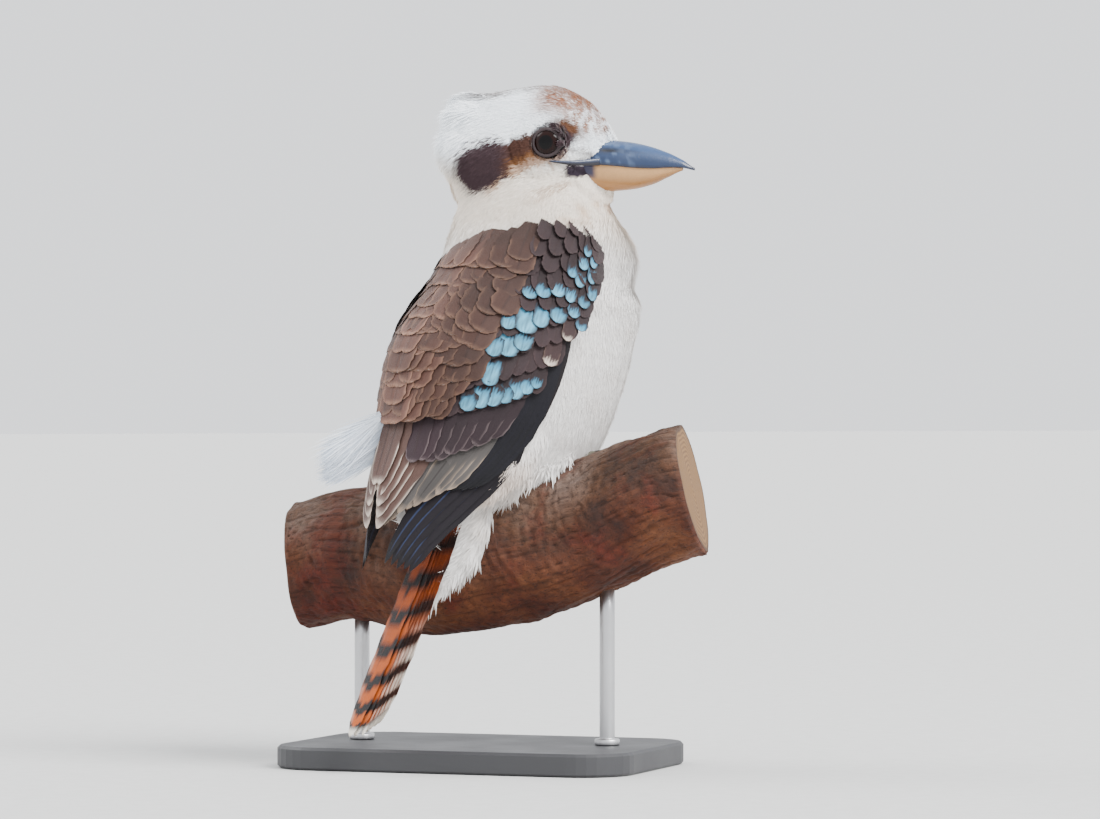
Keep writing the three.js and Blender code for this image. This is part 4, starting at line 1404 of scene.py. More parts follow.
@dataclass
class Skin:
    """The one skin under the coat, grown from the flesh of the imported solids."""

    marks: Markings
    flesh: tuple[str, ...] = ("head", "neck", "torso", "right_thigh", "left_thigh", "undertail_coverts")
    depth: float = 2.4  # how far the skin lies under the coat's surface
    voxel: float = 2.2
    swell: float = 0.35
    bed_heights: tuple[float, float] = (138.0, 0.0)
    bed_angles: tuple[float, float] = (100.0, 177.0)
    bed_lifts: tuple[float, float] = (-0.2, -9.0)  # under the feathers and inside the body
    fold: Fold = field(default_factory=Fold)

    def wing_bed(self) -> Form:
        """What fills the wing between the body and its feathers."""
        heights, angles = np.linspace(*self.bed_heights, 24), np.linspace(*self.bed_angles, 16)
        h, a = np.meshgrid(heights, angles, indexing="ij")
        outer, inner = (self.fold.point(h, a, np.full(h.shape, lift)) for lift in self.bed_lifts)
        return loft(np.concatenate([outer, inner[:, ::-1]], 1))

    def build(self, finish: bpy.types.Material) -> bpy.types.Object:
        """Makes the skin, its markings and its unwrap.

        Args:
            finish: the skin's material.

        Returns:
            The skin's object, which replaces the flesh nodes.
        """
        points, faces, count = [], [], 0
        for node in self.flesh:
            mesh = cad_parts[node].data
            co, normal = (read_values(mesh.vertices, name, 3) for name in ("co", "normal"))
            mesh.calc_loop_triangles()
            points.append(to_body(co) + normal * self.swell)
            faces.append(read_values(mesh.loop_triangles, "vertices", 3, np.int32) + count)
            count += len(mesh.vertices)
        blank = np.zeros((count, 3))
        form = Form(np.concatenate(points), np.concatenate(faces), blank, blank)
        bed = self.wing_bed()
        beds = bed.joined(bed.mirrored())
        quads = beds.faces
        beds.faces = np.concatenate([quads[:, [0, 1, 2]], quads[:, [0, 2, 3]]])
        rough = form.joined(beds).as_object("skin_blank", finish, "white_plumage")
        remesh = rough.modifiers.new("Remesh", "REMESH")
        remesh.mode, remesh.voxel_size = "VOXEL", self.voxel * MM
        smooth = rough.modifiers.new("Smooth", "SMOOTH")
        smooth.factor, smooth.iterations = 0.5, 10
        sink = rough.modifiers.new("Sink", "DISPLACE")
        sink.strength, sink.mid_level = -self.depth * MM, 0.0
        seen = rough.evaluated_get(bpy.context.evaluated_depsgraph_get())
        made = bpy.data.meshes.new_from_object(seen)
        bpy.data.objects.remove(rough)
        made.name = "skin"
        self.free_bill(made)
        skin = bpy.data.objects.new("skin", made)
        bpy.context.scene.collection.objects.link(skin)
        self.dress(skin)
        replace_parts(settle(skin, finish), *self.flesh)
        return skin

    @staticmethod
    def free_bill(mesh: bpy.types.Mesh) -> None:
        """Draws the skin in beside the bill's root, so that the horn shows before the feathers' edge."""
        place = body_to_head(to_body(read_values(mesh.vertices, "co", 3)))
        x, side, z = place.T
        root = BILL_ROOT(z)[:, 0]
        inside = (z > -20) & (z < 10)
        pull = ease(x, root - 7, root - 1) * inside
        narrow = np.minimum(np.abs(side), bill_half(x, z) - 1.3)
        place[:, 1] = np.sign(side) * (np.abs(side) * (1 - pull) + np.maximum(narrow, 0) * pull)
        place[:, 0] = np.where(inside, np.minimum(x, 44), x)
        mesh.vertices.foreach_set("co", to_row(head_to_body(place)).astype(np.float32).ravel())
        mesh.update()

    def dress(self, skin: bpy.types.Object) -> None:
        """Unwraps the skin and writes its markings on its points."""
        bpy.context.view_layer.objects.active = skin
        skin.select_set(True)
        skin.data.uv_layers.new(name=BAKE_MAP)
        bpy.ops.object.mode_set(mode="EDIT")
        bpy.ops.mesh.select_all(action="SELECT")
        bpy.ops.uv.smart_project(angle_limit=math.radians(75), island_margin=0.003)
        bpy.ops.object.mode_set(mode="OBJECT")
        skin.data.polygons.foreach_set("use_smooth", np.ones(len(skin.data.polygons), bool))
        places = to_body(read_values(skin.data.vertices, "co", 3))
        tint = self.marks.at(places)
        tint[self.fold.covers(places)] = tone(70, 52, 46)
        Form(places, np.zeros((0, 3), int), tint, np.zeros_like(places)).write_attributes(skin.data)


BLADES = 5  # in a tuft
BLADE_POINTS = 5
BLADE_FACES = np.array([[0, 3, 1], [0, 2, 3], [2, 4, 3]])


@dataclass
class Tufts:
    """Small soft feathers, each a fan of narrow blades that lies along the coat."""

    roots: Array
    normals: Array
    way: Array
    length: Array
    width: Array
    lift: Array
    tint: Array
    chart: Array
    spread: float = 16.0
    seed: int = SEED

    def form(self) -> Form:
        """Builds every blade.

        Returns:
            One form of triangles, three to a blade.
        """
        n, b = len(self.roots), BLADES
        draw = np.random.default_rng(self.seed)
        place = (np.arange(b) - (b - 1) / 2) / max((b - 1) / 2, 1)
        turn = np.radians(self.spread * place + draw.normal(0, 4.0, (n, b)))
        side = unit(np.cross(self.normals, self.way))
        ways = self.way[:, None] * np.cos(turn)[..., None] + side[:, None] * np.sin(turn)[..., None]
        sides = np.cross(self.normals[:, None], ways)
        start = self.roots[:, None] + side[:, None] * (place * self.width[:, None] * 0.42)[..., None]
        length = self.length[:, None] * (1 - 0.14 * np.abs(place)) * draw.uniform(0.78, 1.15, (n, b))
        half = self.width[:, None] / b * 0.75 * draw.uniform(0.8, 1.2, (n, b))
        lift = self.lift[:, None] * draw.uniform(0.75, 1.25, (n, b))
        # shares of the blade's length, width and lift at its root, middle and tip
        stations = ((0.0, 0.8, -0.25), (0.5, 1.0, 0.75), (1.0, 0.0, 1.0))
        columns = []
        for t, w, h in stations:
            middle = start + ways * (length * t)[..., None] + self.normals[:, None] * (lift * h)[..., None]
            offset = sides * (half * w)[..., None]
            columns += [middle - offset, middle + offset] if w else [middle]
        points = np.stack(columns, 2)
        s = np.array([-1, 1, -1, 1, 0.0])
        t = np.array([0, 0, 0.5, 0.5, 1.0])
        chance = np.broadcast_to(draw.random((n, 1, 1)), (n, b, BLADE_POINTS))
        vane = np.stack([*(np.broadcast_to(v, chance.shape) for v in (s, t)), chance], -1)
        shade = (0.8 + 0.2 * t) * (1 + 0.1 * (draw.random((n, b, 1)) - 0.5))
        tint = self.tint[:, None][:, :, [0, 0, 1, 1, 2]] * shade[..., None]
        uv = np.stack([s * 0.5, t - 0.5], -1) * TUFT_PATCH
        form = flat_form(points, repeated(BLADE_FACES, n * b, BLADE_POINTS), tint, vane)
        form.chart = (self.chart[:, None, None] + uv + np.zeros((n, b, BLADE_POINTS, 2))).reshape(-1, 2)
        return form


@dataclass
class BodyCoat:
    """The white coat over head, neck, breast, belly and thighs, set on the skin."""

    skin: bpy.types.Object
    marks: Markings
    fold: Fold
    count: int = 60_000
    piece_of: int = LARGEST_PIECE // (BLADES * len(BLADE_FACES))
    spare: float = 11.0  # degrees in front of the lower wing that stay free of roots

    def samples(self) -> tuple[Array, Array, Array]:
        """Draws roots over the skin.

        Returns:
            Points, normals and places on the skin's unwrap.
        """
        mesh = self.skin.data
        mesh.calc_loop_triangles()
        corner, loops = (
            read_values(mesh.loop_triangles, name, 3, np.int32) for name in ("vertices", "loops")
        )
        co, normal = (read_values(mesh.vertices, name, 3) for name in ("co", "normal"))
        uv = read_values(mesh.uv_layers[BAKE_MAP].data, "uv", 2)
        corners, normals, charts = to_body(co)[corner], normal[corner], uv[loops]
        edges = corners[:, 1:] - corners[:, :1]
        area = np.linalg.norm(np.cross(edges[:, 0], edges[:, 1]), axis=1)
        middle = corners.mean(1)
        weight = area * np.where(self.fold.covers(middle, self.spare), 0.0, 1.0)
        weight = weight * (1 + 1.6 * ease(body_to_head(middle)[:, 2], -34, -24))
        draw = np.random.default_rng(SEED)
        pick = draw.choice(len(corners), self.count, p=weight / weight.sum())
        a, b = np.sqrt(draw.random(self.count)), draw.random(self.count)
        share = np.stack([1 - a, a * (1 - b), a * b], -1)[..., None]
        points, ups, places = ((values[pick] * share).sum(1) for values in (corners, normals, charts))
        return points, unit(ups), places

    def way(self, points: Array, normals: Array) -> Array:
        """The lie of the coat: back from the bill over the head, then down the neck and body."""
        place = body_to_head(points)
        back = np.array([-math.cos(HEAD_TURN), -math.sin(HEAD_TURN), 0.0])
        on_head = ease(place[:, 2], -40, -14)
        fall = -0.25 - 1.1 * ease(place[:, 2], 2, -26) - 0.9 * ease(place[:, 0], -24, -42)
        face = back + np.stack([0 * fall, 0 * fall, fall], -1)
        body = np.array([-0.42, 0.0, -1.0]) + 0 * points
        body[:, 0] += -0.5 * ease(points[:, 2], 30, -10)
        lie = blend(body, face, on_head)
        lie = lie + 0.12 * np.random.default_rng(5).normal(size=lie.shape)
        return unit(lie - normals * (lie * normals).sum(1, keepdims=True))

    def measures(self, points: Array) -> tuple[Array, Array, Array]:
        """Length, width and lift of the tuft at each root."""
        place = body_to_head(points)
        x, s, z = place[:, 0], np.abs(place[:, 1]), place[:, 2]
        on_head = ease(z, -36, -26)
        face = ease(x, 8, 30)
        nape = ease(x, -14, -34) * ease(z, -8, 8)
        crown = ease(z, 20, 32)
        length = 9.5 - 5.0 * face + 7.0 * nape + 1.5 * crown
        eye = np.hypot(x - EYE_ALONG, z - EYE_UP) + 20 * (s < 12)
        length = np.where(eye < 17, np.minimum(length, 3.2), length)
        belly = ease(points[:, 2], 70, 10)
        length = length * on_head + (11.5 + 3.5 * belly) * (1 - on_head)
        lift = 1.9 + 3.0 * nape * on_head + 0.4 * belly * (1 - on_head) - 0.9 * face * on_head
        return length, 0.9 + 0.19 * length, lift

    def build(self, finish: bpy.types.Material) -> None:
        """Sets the tufts in pieces of at most LARGEST_PIECE triangles each."""
        points, normals, charts = self.samples()
        x, side, z = body_to_head(points).T
        bare = (np.hypot(x - EYE_ALONG, z - EYE_UP) < 8.6) & (np.abs(side) > 14)
        bare |= (x > BILL_ROOT(z)[:, 0] - 0.5) & (z > -20.5) & (z < 9.5)
        bare |= gape_fold(x, z, 6.5, 3.4) < 1
        points, normals, charts = points[~bare], normals[~bare], charts[~bare]
        way = self.way(points, normals)
        length, width, lift = self.measures(points)
        reach = way * length[:, None]
        tint = np.stack([self.marks.at(points + reach * t + normals * 2.0) for t in (0.1, 0.5, 0.9)], 1)
        values = (points, normals, way, length, width, lift, tint, charts)
        order = np.argsort(points[:, 2])
        for i, part in enumerate(np.array_split(order, math.ceil(len(order) / self.piece_of))):
            tufts = Tufts(*(value[part] for value in values), seed=SEED + i)
            tufts.form().as_object(f"body_coat_{i + 1}", finish, "white_plumage")


@dataclass
class RumpPlume:
    """Loose white rump feathers blown out from under the far wing."""

    count: int = 340
    reach: float = 46.0
    heads: int = 7

    def build(self, finish: bpy.types.Material) -> None:
        """Builds the plume as long fanned blades and lets it replace its node."""
        draw = np.random.default_rng(SEED + 40)
        lock = draw.integers(0, self.heads, self.count)
        k = np.linspace(-1, 1, self.heads)[lock]
        start = draw.uniform(0.0, 0.6, self.count)
        goal = np.stack([from_view(-1.0, -0.1, -0.56 + 0.12 * v) for v in k])
        length = self.reach * (0.86 - 0.16 * k) * (1 - start) * draw.uniform(0.6, 1.0, self.count)
        base = np.array([-47.0, 14.0, 30.0])
        roots = base + np.stack([2 - 2 * k**2, -2 + 3 * k, 4 - 11 * k], -1)
        roots = roots + draw.normal(0, 0.7, (self.count, 3))
        roots = roots + unit(goal) * (self.reach * start * 0.85)[:, None]
        way = unit(unit(goal) + draw.normal(0, 0.05, (self.count, 3)))
        face = from_view(0.25, -1.0, 0.5)
        normals = unit(face - way * (way @ face)[:, None])
        tint = blend(tone(232, 236, 242), tone(206, 214, 224), draw.random(self.count))
        tint = np.repeat(tint[:, None], 3, 1)
        charts = np.full((self.count, 2), 0.5)
        width, lift = np.full(self.count, 1.9), np.full(self.count, 0.7)
        tufts = Tufts(roots, normals, way, length, width, lift, tint, charts, spread=9.0, seed=SEED + 41)
        piece = tufts.form().as_object("rump_plume_feathers", finish, "white_plumage")
        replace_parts(piece, "rump_plume")


# Bill, eyes and feet


# each half's sections: along, top, bottom and half width in the head's frame
UPPER_BILL = (
    (26, 8.4, -4, 12.5),
    (36, 8.8, -4.4, 14.2),
    (47, 8, -5.2, 12.6),
    (56, 6.6, -6.1, 10.2),
    (65, 4.2, -6.4, 7.6),
    (73.5, 1, -6.1, 5),
    (80.5, -2.6, -6.3, 2.6),
    (86.5, -6.6, -7.8, 0.5),
)
LOWER_BILL = (
    (26, -4.4, -17.5, 12.6),
    (36, -4.8, -18.6, 13),
    (47, -5.6, -18, 11.6),
    (56, -6.5, -17, 9.2),
    (65, -6.8, -14.6, 6.6),
    (73.5, -6.5, -10.8, 3.9),
    (80, -6.7, -8, 1.3),
)
# where the feathers end at each height on the bill's root
BILL_ROOT = SmoothTable(
    (
        (-21, 48),
        (-19, 44.5),
        (-17.5, 41),
        (-14, 37.5),
        (-10, 34.5),
        (-6.5, 33),
        (-3.7, 31),
        (-1, 34),
        (1.6, 38),
        (4, 40),
        (8.6, 43.5),
        (10.5, 48),
    )
)


def bill_half(along: Array, up: Array) -> Array:
    """Half the bill's width at a place along it and a height."""
    total = 0.0
    for rows, flat, far in ((UPPER_BILL, 1, 0), (LOWER_BILL, 0, 1)):
        sizes = np.moveaxis(SmoothTable(rows)(np.clip(along, 26, 80)), -1, 0)
        rise = (up - sizes[flat]) / (sizes[far] - sizes[flat])
        width = sizes[2] * np.sqrt(1 - np.clip(rise, 0, 1) ** 2)
        total = np.maximum(total, np.where((rise > -0.05) & (rise < 1), width, 0))
    return total


@dataclass
class Bill:
    """The heavy two-part bill, flat where its halves meet, and the bare gape behind it."""

    nostril: tuple[float, float] = (42.5, 2.4)  # along and up
    gape_from: float = 39.0
    gape_to: float = 15.0
    gape_level: float = -3.4

    @staticmethod
    def half(rows: Sequence[Sequence[float]], below: bool) -> tuple[Array, Array, Array]:
        """Points over one half of the bill.

        Args:
            rows: its sections, as along, top, bottom and half width.
            below: whether it is the lower half.

        Returns:
            The grid of points in the head's frame, and along and height shares.
        """
        along = np.linspace(rows[0][0], rows[-1][0], 90)
        top, bottom, half = SmoothTable(rows)(along).T
        a = np.linspace(0, 2 * np.pi, 56, endpoint=False)
        rise = np.sign(np.sin(a)) * np.abs(np.sin(a)) ** 0.95
        lid = np.where(rise > 0, rise, 0.1 * rise)
        flat, far = (top, bottom) if below else (bottom, top)
        z = flat[:, None] + (far - flat)[:, None] * lid
        y = half[:, None] * np.cos(a) * (1 - 0.04 * np.clip(rise, 0, 1))
        x = along[:, None] + 0 * z
        return np.stack([x, y, z], -1), x, lid + 0 * z

    def gape(self, side: int) -> Form:
        """The thin horn strip that runs back over the cheek from the bill's root."""
        t = np.linspace(0, 1, 60)
        x = self.gape_from + (self.gape_to - self.gape_from) * t
        z = self.gape_level - 0.8 * np.sin(np.pi * t)
        out = np.maximum(cheek(x, z), bill_half(x, z + 0 * x)) * (1 - 0.05 * (1 - t)) + 0.1 - 0.3 * t
        thick = 1.7 * (1 - t) ** 0.7 + 0.25
        a = circle(16)
        points = np.stack(
            [
                x[:, None] + 0 * a,
                side * (out[:, None] + 1.0 * np.cos(a)),
                z[:, None] + thick[:, None] * np.sin(a),
            ],
            -1,
        )
        # dark horn with a painted reflection of the sky, lighter blue along its upper side
        tint = blend(tone(26, 24, 40), tone(54, 68, 98), ease(np.sin(a), -0.3, 0.5) + 0 * x[:, None])
        return loft(head_to_body(points), tint)

    def build(self, finish: bpy.types.Material) -> None:
        """Builds both halves and lets them replace their nodes."""
        points, x, lid = self.half(UPPER_BILL, False)
        along, up = self.nostril
        away = ((points[..., 0] - along) / 5.0) ** 2 + ((points[..., 2] - up) / 1.1) ** 2
        slit = np.exp(-away) * (np.abs(points[..., 1]) > 8)
        points[..., 1] *= 1 - 0.14 * slit
        scale = wobble(points * [1, 1, 1.8], 3.4, 12)
        # The upper half is black horn: its blues are a painted reflection of the sky, lighter towards the
        # top that faces the sky and darker at the tip and along the underside.
        tint = blend(tone(40, 58, 92), tone(66, 90, 130), ease(lid, 0.2, 0.9))
        tint = blend(tint, tone(108, 126, 156), 0.7 * ease(scale, -0.1, 0.5) * (1 - ease(x, 46, 62)))
        tint = blend(tint, tone(36, 44, 68), 0.45 * ease(wobble(points * [0.4, 1, 2], 6.0, 31), 0.2, 0.9))
        rim = np.clip(ease(x, 78, 87) + 0.7 * (1 - ease(lid, 0.0, 0.1)), 0, 1)
        tint = blend(tint, tone(30, 36, 58), rim)
        tint = blend(tint, tone(24, 20, 24), np.clip(1.3 * slit, 0, 1))
        upper = loft(head_to_body(points), tint).joined(self.gape(1), self.gape(-1))
        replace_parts(upper.as_object("upper_bill_horn", finish, "bill_upper"), "upper_bill")
        points, x, lid = self.half(LOWER_BILL, True)
        # The lower half is pale horn, darker towards the bottom, with darker blotches there too.
        tint = blend(tone(208, 166, 124), tone(178, 128, 84), ease(lid, 0.3, 1.0))
        lower_blotches = 0.45 * ease(wobble(points, 7.0, 2), 0.1, 0.8) * ease(lid, 0.4, 0.9)
        tint = blend(tint, tone(172, 124, 84), lower_blotches)
        tint = blend(tint, tone(52, 50, 84), (1 - ease(x, 34, 38)) * (1 - ease(lid, 0.4, 0.6)))
        lower = loft(head_to_body(points), tint)
        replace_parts(lower.as_object("lower_bill_horn", finish, "bill_lower"), "lower_bill")


@dataclass
class Eyes:
    """The large dark eyes and the bare rings round them."""

    radius: float = 10.0
    ring: float = 7.2

    def ball(self, side: int) -> Form:
        """One eyeball, with its pupil and iris facing straight out."""
        theta, phi = np.meshgrid(np.linspace(0, np.pi, 60), circle(64), indexing="ij")
        points = np.stack([np.sin(theta) * np.cos(phi), np.cos(theta), np.sin(theta) * np.sin(phi)], -1)
        iris = blend(tone(9, 7, 9), tone(44, 22, 19), ease(theta, 0.36, 0.4))
        iris = blend(iris, tone(18, 11, 12), ease(theta, 0.58, 0.7))
        middle = np.array([EYE_ALONG, side * EYE_SIDE, EYE_UP])
        return loft(head_to_body(points * self.radius * np.array([1, side, 1]) + middle), iris)

    def lids(self, side: int) -> Form:
        """The bare wrinkled ring round one eye."""
        a, b = np.meshgrid(circle(72), circle(14), indexing="ij")
        tube = 1.15 + 0.18 * np.sin(a * 31) * np.cos(b)
        reach = self.ring + tube * np.cos(b)
        points = np.stack([reach * np.cos(a), tube * np.sin(b) * side, reach * np.sin(a) * 0.96], -1)
        points = points + np.array([EYE_ALONG, side * (EYE_SIDE + 7.3), EYE_UP])
        points[..., 1] -= side * 0.012 * (points[..., 0] - EYE_ALONG) ** 2
        tint = blend(tone(34, 26, 28), tone(80, 64, 66), ease(np.sin(b), 0.3, 0.95) * 0.6)
        closed = np.concatenate([points, points[:1]])
        return loft_open(head_to_body(closed), np.concatenate([tint, tint[:1]]))

    def build(self, eye: bpy.types.Material, skin: bpy.types.Material) -> None:
        """Builds both eyes and their rings."""
        for name, side in (("right", -1), ("left", 1)):
            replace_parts(self.ball(side).as_object(name + "_eyeball", eye, "eye"), name + "_eye")
            self.lids(side).as_object(name + "_eye_ring", skin, "foot_skin")


@dataclass
class Perch:
    """The cut limb that the bird sits on: a bent line of height, depth and radius across the view."""

    rows: tuple[tuple[float, ...], ...] = (
        (-92, -36, 67, 34.5),
        (-60, -30, 55.7, 35.5),
        (-12, -31, 38.4, 41),
        (28, -24, 24, 40),
        (65, -14, 10.7, 36.5),
        (116, 8, -7, 35),
    )
    # how many go round, how high they stand and how fast they twist
    ridges: tuple[tuple[float, float, float], ...] = ((3, 0.9, 0.05), (5, 0.6, -0.09), (9, 0.45, 0.13))
    fine: int = 300
    sides: int = 260

    def __post_init__(self) -> None:
        """Makes the smooth table and the finely sampled axis."""
        self.table = SmoothTable(self.rows)
        self.across = np.linspace(self.rows[0][0], self.rows[-1][0], self.fine)
        self.axis = self.centre(self.across)

    def centre(self, across: Array) -> Array:
        """Points of the limb's axis."""
        height, depth, _ = np.moveaxis(self.table(across), -1, 0)
        return from_view(across, depth, height)

    def top(self, x: float, y: float) -> float:
        """The height of the limb's upper side over a point."""
        gap = np.hypot(self.axis[:, 0] - x, self.axis[:, 1] - y)
        i = int(np.argmin(gap))
        radius = float(self.table(self.across)[i, 2])
        return float(self.axis[i, 2] + math.sqrt(max(radius**2 - min(gap[i], radius) ** 2, 0.0)))

    def build(self, finish: bpy.types.Material, wood: bpy.types.Material) -> None:
        """Builds the bark and the two sawn ends."""
        across, axis = self.across, self.axis
        way = unit(np.gradient(axis, axis=0))
        side = unit(np.cross([0.0, 0.0, 1.0], way))
        a = circle(self.sides)
        radius = self.table(across)[:, 2][:, None] + 0 * a
        for n, height, twist in self.ridges:
            radius = radius + height * np.sin(n * a + twist * across[:, None])
        x, c, s = across[:, None] + 0 * a, np.cos(a) + 0 * radius, np.sin(a) + 0 * radius
        strands = np.stack([x * 0.12, c * 30, s * 30], -1)
        lumps = np.stack([x, c * 38, s * 38], -1)
        crack = np.abs(wobble(strands + 2.0 * wobble(lumps, 26.0, 3)[..., None], 5.0, 6))
        relief = 0.9 * wobble(lumps, 22.0, 1) + 0.45 * wobble(strands, 7.0, 2)
        relief = relief - 0.9 * (1 - ease(crack, 0.0, 0.2))
        relief = relief + 0.25 * wobble(lumps, 3.2, 4)
        ends = ease(np.minimum(x - across[0], across[-1] - x), 0.0, 1.5)
        relief = relief * (0.3 + 0.7 * ends) - 1.2 * (1 - ends) - 0.6
        out = spokes(side, np.cross(way, side), a)
        points = axis[:, None] + out * (radius + relief)[..., None]
        shade = 0.72 + 0.28 * ease(crack, 0.02, 0.25)
        # Painted light and shade: the limb is paler and blue-grey on top, as if lit by the sky, and darker
        # and red-brown underneath, in shade.
        below = 1 - ease(s + 0.25 * wobble(lumps, 30.0, 8), -0.5, 0.7)
        tint = shade[..., None] * blend(np.array([0.68, 0.7, 0.86]), np.array([0.68, 0.34, 0.15]), below)
        vane = np.stack([x * 0.02, a / (2 * np.pi) + 0 * x, 0 * x], -1)
        form = loft_open(points, tint)
        form.vane = vane.reshape(-1, 3)
        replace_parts(form.as_object("perch_bark", finish, "bark"), "perch_branch")
        for name, i in (("perch_end_1", 0), ("perch_end_2", -1)):
            end = self.sawn_end(points[i], axis[i])
            end.faces = end.faces if i == 0 else end.faces[:, ::-1]
            end.as_object(name, wood, "bark")

    @staticmethod
    def sawn_end(rim: Array, middle: Array) -> Form:
        """One flat sawn end with its growth rings."""
        steps = 60
        share = np.linspace(0, 1, steps)[:, None, None]
        points = middle + (rim - middle) * share
        r = np.linalg.norm(rim - middle, axis=1).mean() * share[..., 0] + 0 * rim[:, 0]
        rings = np.sin(r * 2.4 + 1.2 * wobble(points, 14.0, 6))
        tint = blend(tone(150, 118, 84), tone(112, 80, 54), ease(rings, -0.4, 0.9))
        tint = blend(tint, tone(86, 60, 42), ease(share[..., 0] + 0 * r, 0.9, 0.97))
        return flat_form(points, grid_faces(steps, len(rim), ring=True), tint, np.zeros(points.shape))


@dataclass
class Feet:
    """The scaly feet on the bark, with their claws."""

    perch: Perch
    y: float = 16.0
    behind: float = 7.0
    # each toe's turn in degrees, its length and its radius
    toes: tuple[tuple[float, float, float], ...] = (
        (-16, 26, 3.3),
        (4, 30, 3.4),
        (20, 22, 3.1),
        (180, 17, 3.2),
    )
    claw: float = 9.0
    claw_radius: float = 1.9
    # shares of a claw's length, its rise in millimetres and shares of its radius
    claw_line: tuple[tuple[float, float, float], ...] = (
        (0, 0.6, 1),
        (0.35, 1.3, 0.85),
        (0.7, 0.4, 0.55),
        (1, -2.4, 0.12),
    )

    def forward(self, side: int) -> float:
        """How far forward the foot of one side stands."""
        i = int(np.argmin(np.abs(self.perch.axis[:, 1] - side * self.y)))
        return float(self.perch.axis[i, 0]) - self.behind

    def line(self, toe: tuple[float, float, float], side: int, places: Array) -> Array:
        """Stations along one toe on the bark."""
        turn, length, radius = toe
        heading = math.radians(side * turn)
        rows = []
        for d in places:
            x = self.forward(side) + d * math.cos(heading)
            y = side * self.y + d * math.sin(heading)
            r = radius * (1.05 - 0.25 * d / length)
            rows.append([x, y, self.perch.top(x, y) + r * 0.8, r * (1 + 0.07 * math.cos(d * 1.6))])
        return np.array(rows)

    def build(self, skin: bpy.types.Material, horn: bpy.types.Material) -> None:
        """Builds both feet and all claws, and lets them replace their nodes."""
        grey = tone(112, 108, 92)
        for name, side in (("right", -1), ("left", 1)):
            x = self.forward(side)
            y = side * self.y
            ground = self.perch.top(x, y)
            rows = [[x - 8, side * 17, 36, 4.2], [x - 2, y, ground + 8, 3.8], [x, y, ground + 2.5, 4.6]]
            shank = limb(rows, 28, grey, 14)
            toes, claws = [], []
            for toe in self.toes:
                toes.append(limb(self.line(toe, side, np.linspace(0, toe[1], 9)), 24, grey, 5))
                tip = self.line(toe, side, np.array([toe[1]]))[0]
                heading = math.radians(side * toe[0])
                rows = []
                for t, up, size in self.claw_line:
                    d = t * self.claw - 0.5
                    ahead, beside = math.cos(heading) * d, math.sin(heading) * d
                    rows.append([tip[0] + ahead, tip[1] + beside, tip[2] + up, self.claw_radius * size])
                claws.append(limb(rows, 20, tone(44, 40, 38), 10))
            piece = shank.joined(*toes).as_object(name + "_foot_skin", skin, "foot_skin")
            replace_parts(piece, name + "_foot")
            piece = claws[0].joined(*claws[1:]).as_object(name + "_claws", horn, "claw")
            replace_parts(piece, *[f"{name}_claw_{i + 1}" for i in range(len(self.toes))])


@dataclass
class Stand:
    """The plain stand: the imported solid's plate under paint, and turned rods with a collar each."""

    # heights above the plate's top and how far the collar stands out there
    collar: tuple[tuple[float, float], ...] = ((0, 2.4), (0.5, 2.6), (2.6, 2.6), (3.1, 2.2), (3.3, 0))
    sides: int = 64

    def build(self, paint: bpy.types.Material, steel: bpy.types.Material) -> None:
        """Paints the plate and replaces the rods with round ones."""
        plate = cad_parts["stand_base"]
        plate.data.materials.clear()
        plate.data.materials.append(paint)
        for name in ("stand_rod_1", "stand_rod_2"):
            low, high = (to_body(np.array(c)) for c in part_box(name))
            x, y = (low[:2] + high[:2]) / 2
            radius = (high[0] - low[0]) / 2
            rows = [[x, y, low[2] + up, radius + out] for up, out in self.collar]
            rows += [[x, y, z, radius] for z in np.linspace(low[2] + 3.6, high[2] + 4.0, 6)]
            rings = self.turned(np.array(rows))
            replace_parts(loft(rings).as_object(name + "_turned", steel, "stand_steel"), name)

    def turned(self, rows: Array) -> Array:
        """Rings round a vertical axis from rows of x, y, z and radius."""
        a = circle(self.sides)
        out = np.stack([np.cos(a), np.sin(a), 0 * a], -1)
        return rows[:, None, :3] + out * rows[:, 3][:, None, None]


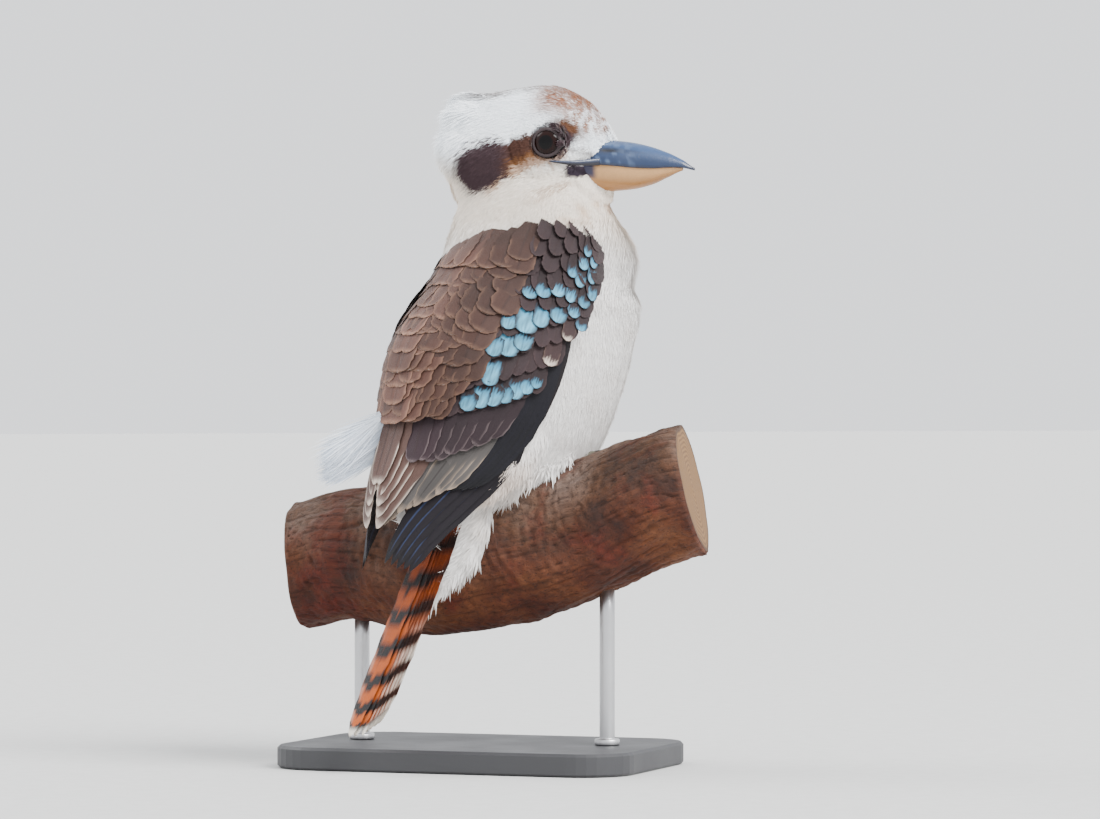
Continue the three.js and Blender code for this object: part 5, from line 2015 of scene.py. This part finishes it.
@dataclass
class Studio:
    """The pale floor, the soft lights and the camera of the photo."""

    look: tuple[float, float, float] = (42.1, 24.0, 47.6)
    far: float = 2500.0
    frame_width: float = 578.9
    sensor: float = 36.0
    floor_size: float = 60.0
    air: tuple[float, float, float, float] = (0.95, 0.97, 1.0, 1.0)
    air_strength: float = 1.6
    # name, kind, place, size and strength
    lamps: tuple[tuple[str, str, tuple[float, float, float], float, float], ...] = (
        ("key_light", "SUN", (0.5, -2.2, 2.4), 0.5, 5.2),
        ("window_light", "AREA", (0.9, -1.7, 1.5), 0.5, 16.0),
        ("back_light", "SUN", (-1.4, 1.6, 2.2), 0.6, 1.6),
    )

    def floor(self) -> None:
        """A plain pale floor that runs far out behind the bird."""
        bpy.ops.mesh.primitive_plane_add(size=self.floor_size, location=(0, 0, 0))
        plane = bpy.context.object
        plane.name = "studio_floor"
        made = bpy.data.materials.new("studio_paper")
        made.use_nodes = True
        w = Wiring(made.node_tree)
        shader = made.node_tree.nodes["Principled BSDF"]
        grey = w.ramp(w.noise(w.place(), 90.0, 4.0), (0.3, (0.56, 0.56, 0.55)), (0.7, (0.6, 0.6, 0.59)))
        w.join(grey, shader.inputs["Base Color"])
        shader.inputs["Roughness"].default_value = 0.95
        shader.inputs["Specular IOR Level"].default_value = 0.1
        plane.data.materials.append(made)

    @staticmethod
    def lamp(
        name: str, kind: str, place: tuple[float, float, float], size: float, strength: float
    ) -> None:
        """A soft light aimed at the bird.

        Args:
            name: the light's name.
            kind: AREA for a square panel or SUN for even light from far away.
            place: where it stands, in metres.
            size: the panel's side, or the sun's spread in radians.
            strength: watts, or watts per square metre for a sun.
        """
        data = bpy.data.lights.new(name, kind)
        data.energy = strength
        if kind == "SUN":
            data.angle = size
        else:
            data.size = size
        lamp = bpy.data.objects.new(name, data)
        lamp.location = place
        goal = Vector((0.0, 0.0, 0.2)) - lamp.location
        lamp.rotation_euler = goal.to_track_quat("-Z", "Y").to_euler()
        bpy.context.scene.collection.objects.link(lamp)

    def build(self) -> None:
        """Makes the floor, the lights, the world and the camera."""
        self.floor()
        for row in self.lamps:
            self.lamp(*row)
        world = bpy.data.worlds.new("studio_air")
        world.use_nodes = True
        background = world.node_tree.nodes["Background"].inputs
        background["Color"].default_value = self.air
        background["Strength"].default_value = self.air_strength
        bpy.context.scene.world = world
        camera = bpy.data.objects.new("camera", bpy.data.cameras.new("camera"))
        goal = Vector(to_row(from_view(*self.look)))
        away = Vector((-math.sin(VIEW_YAW), -math.cos(VIEW_YAW), 0.0))
        camera.location = goal + away * self.far * MM
        camera.rotation_euler = (-away).to_track_quat("-Z", "Y").to_euler()
        camera.data.sensor_width = self.sensor
        camera.data.lens = self.sensor * self.far / self.frame_width
        bpy.context.scene.collection.objects.link(camera)
        bpy.context.scene.camera = camera


def main() -> None:
    """Builds every part in order."""
    logging.basicConfig(level=logging.INFO, format="%(name)s: %(message)s")
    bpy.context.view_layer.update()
    effects = Effects()
    down, scaly = DOWN.material(effects), SCALY_SKIN.material(effects)
    marks, fold = Markings(), Fold()
    Studio().build()
    skin = Skin(marks, fold=fold).build(down)
    BodyCoat(skin, marks, fold).build(down)
    RumpPlume().build(down)
    Wing(fold).build(WING_VANE.material(effects))
    Tail().build(TAIL_VANE.material(effects))
    Bill().build(BILL_HORN.material(effects))
    Eyes().build(WET_EYE.material(effects), scaly)
    perch = Perch()
    perch.build(BARK.material(effects), SAWN_WOOD.material(effects))
    Feet(perch).build(scaly, CLAW_HORN.material(effects))
    Stand().build(STAND_PAINT.material(effects), ROD_STEEL.material(effects))


if __name__ == "__main__":
    main()
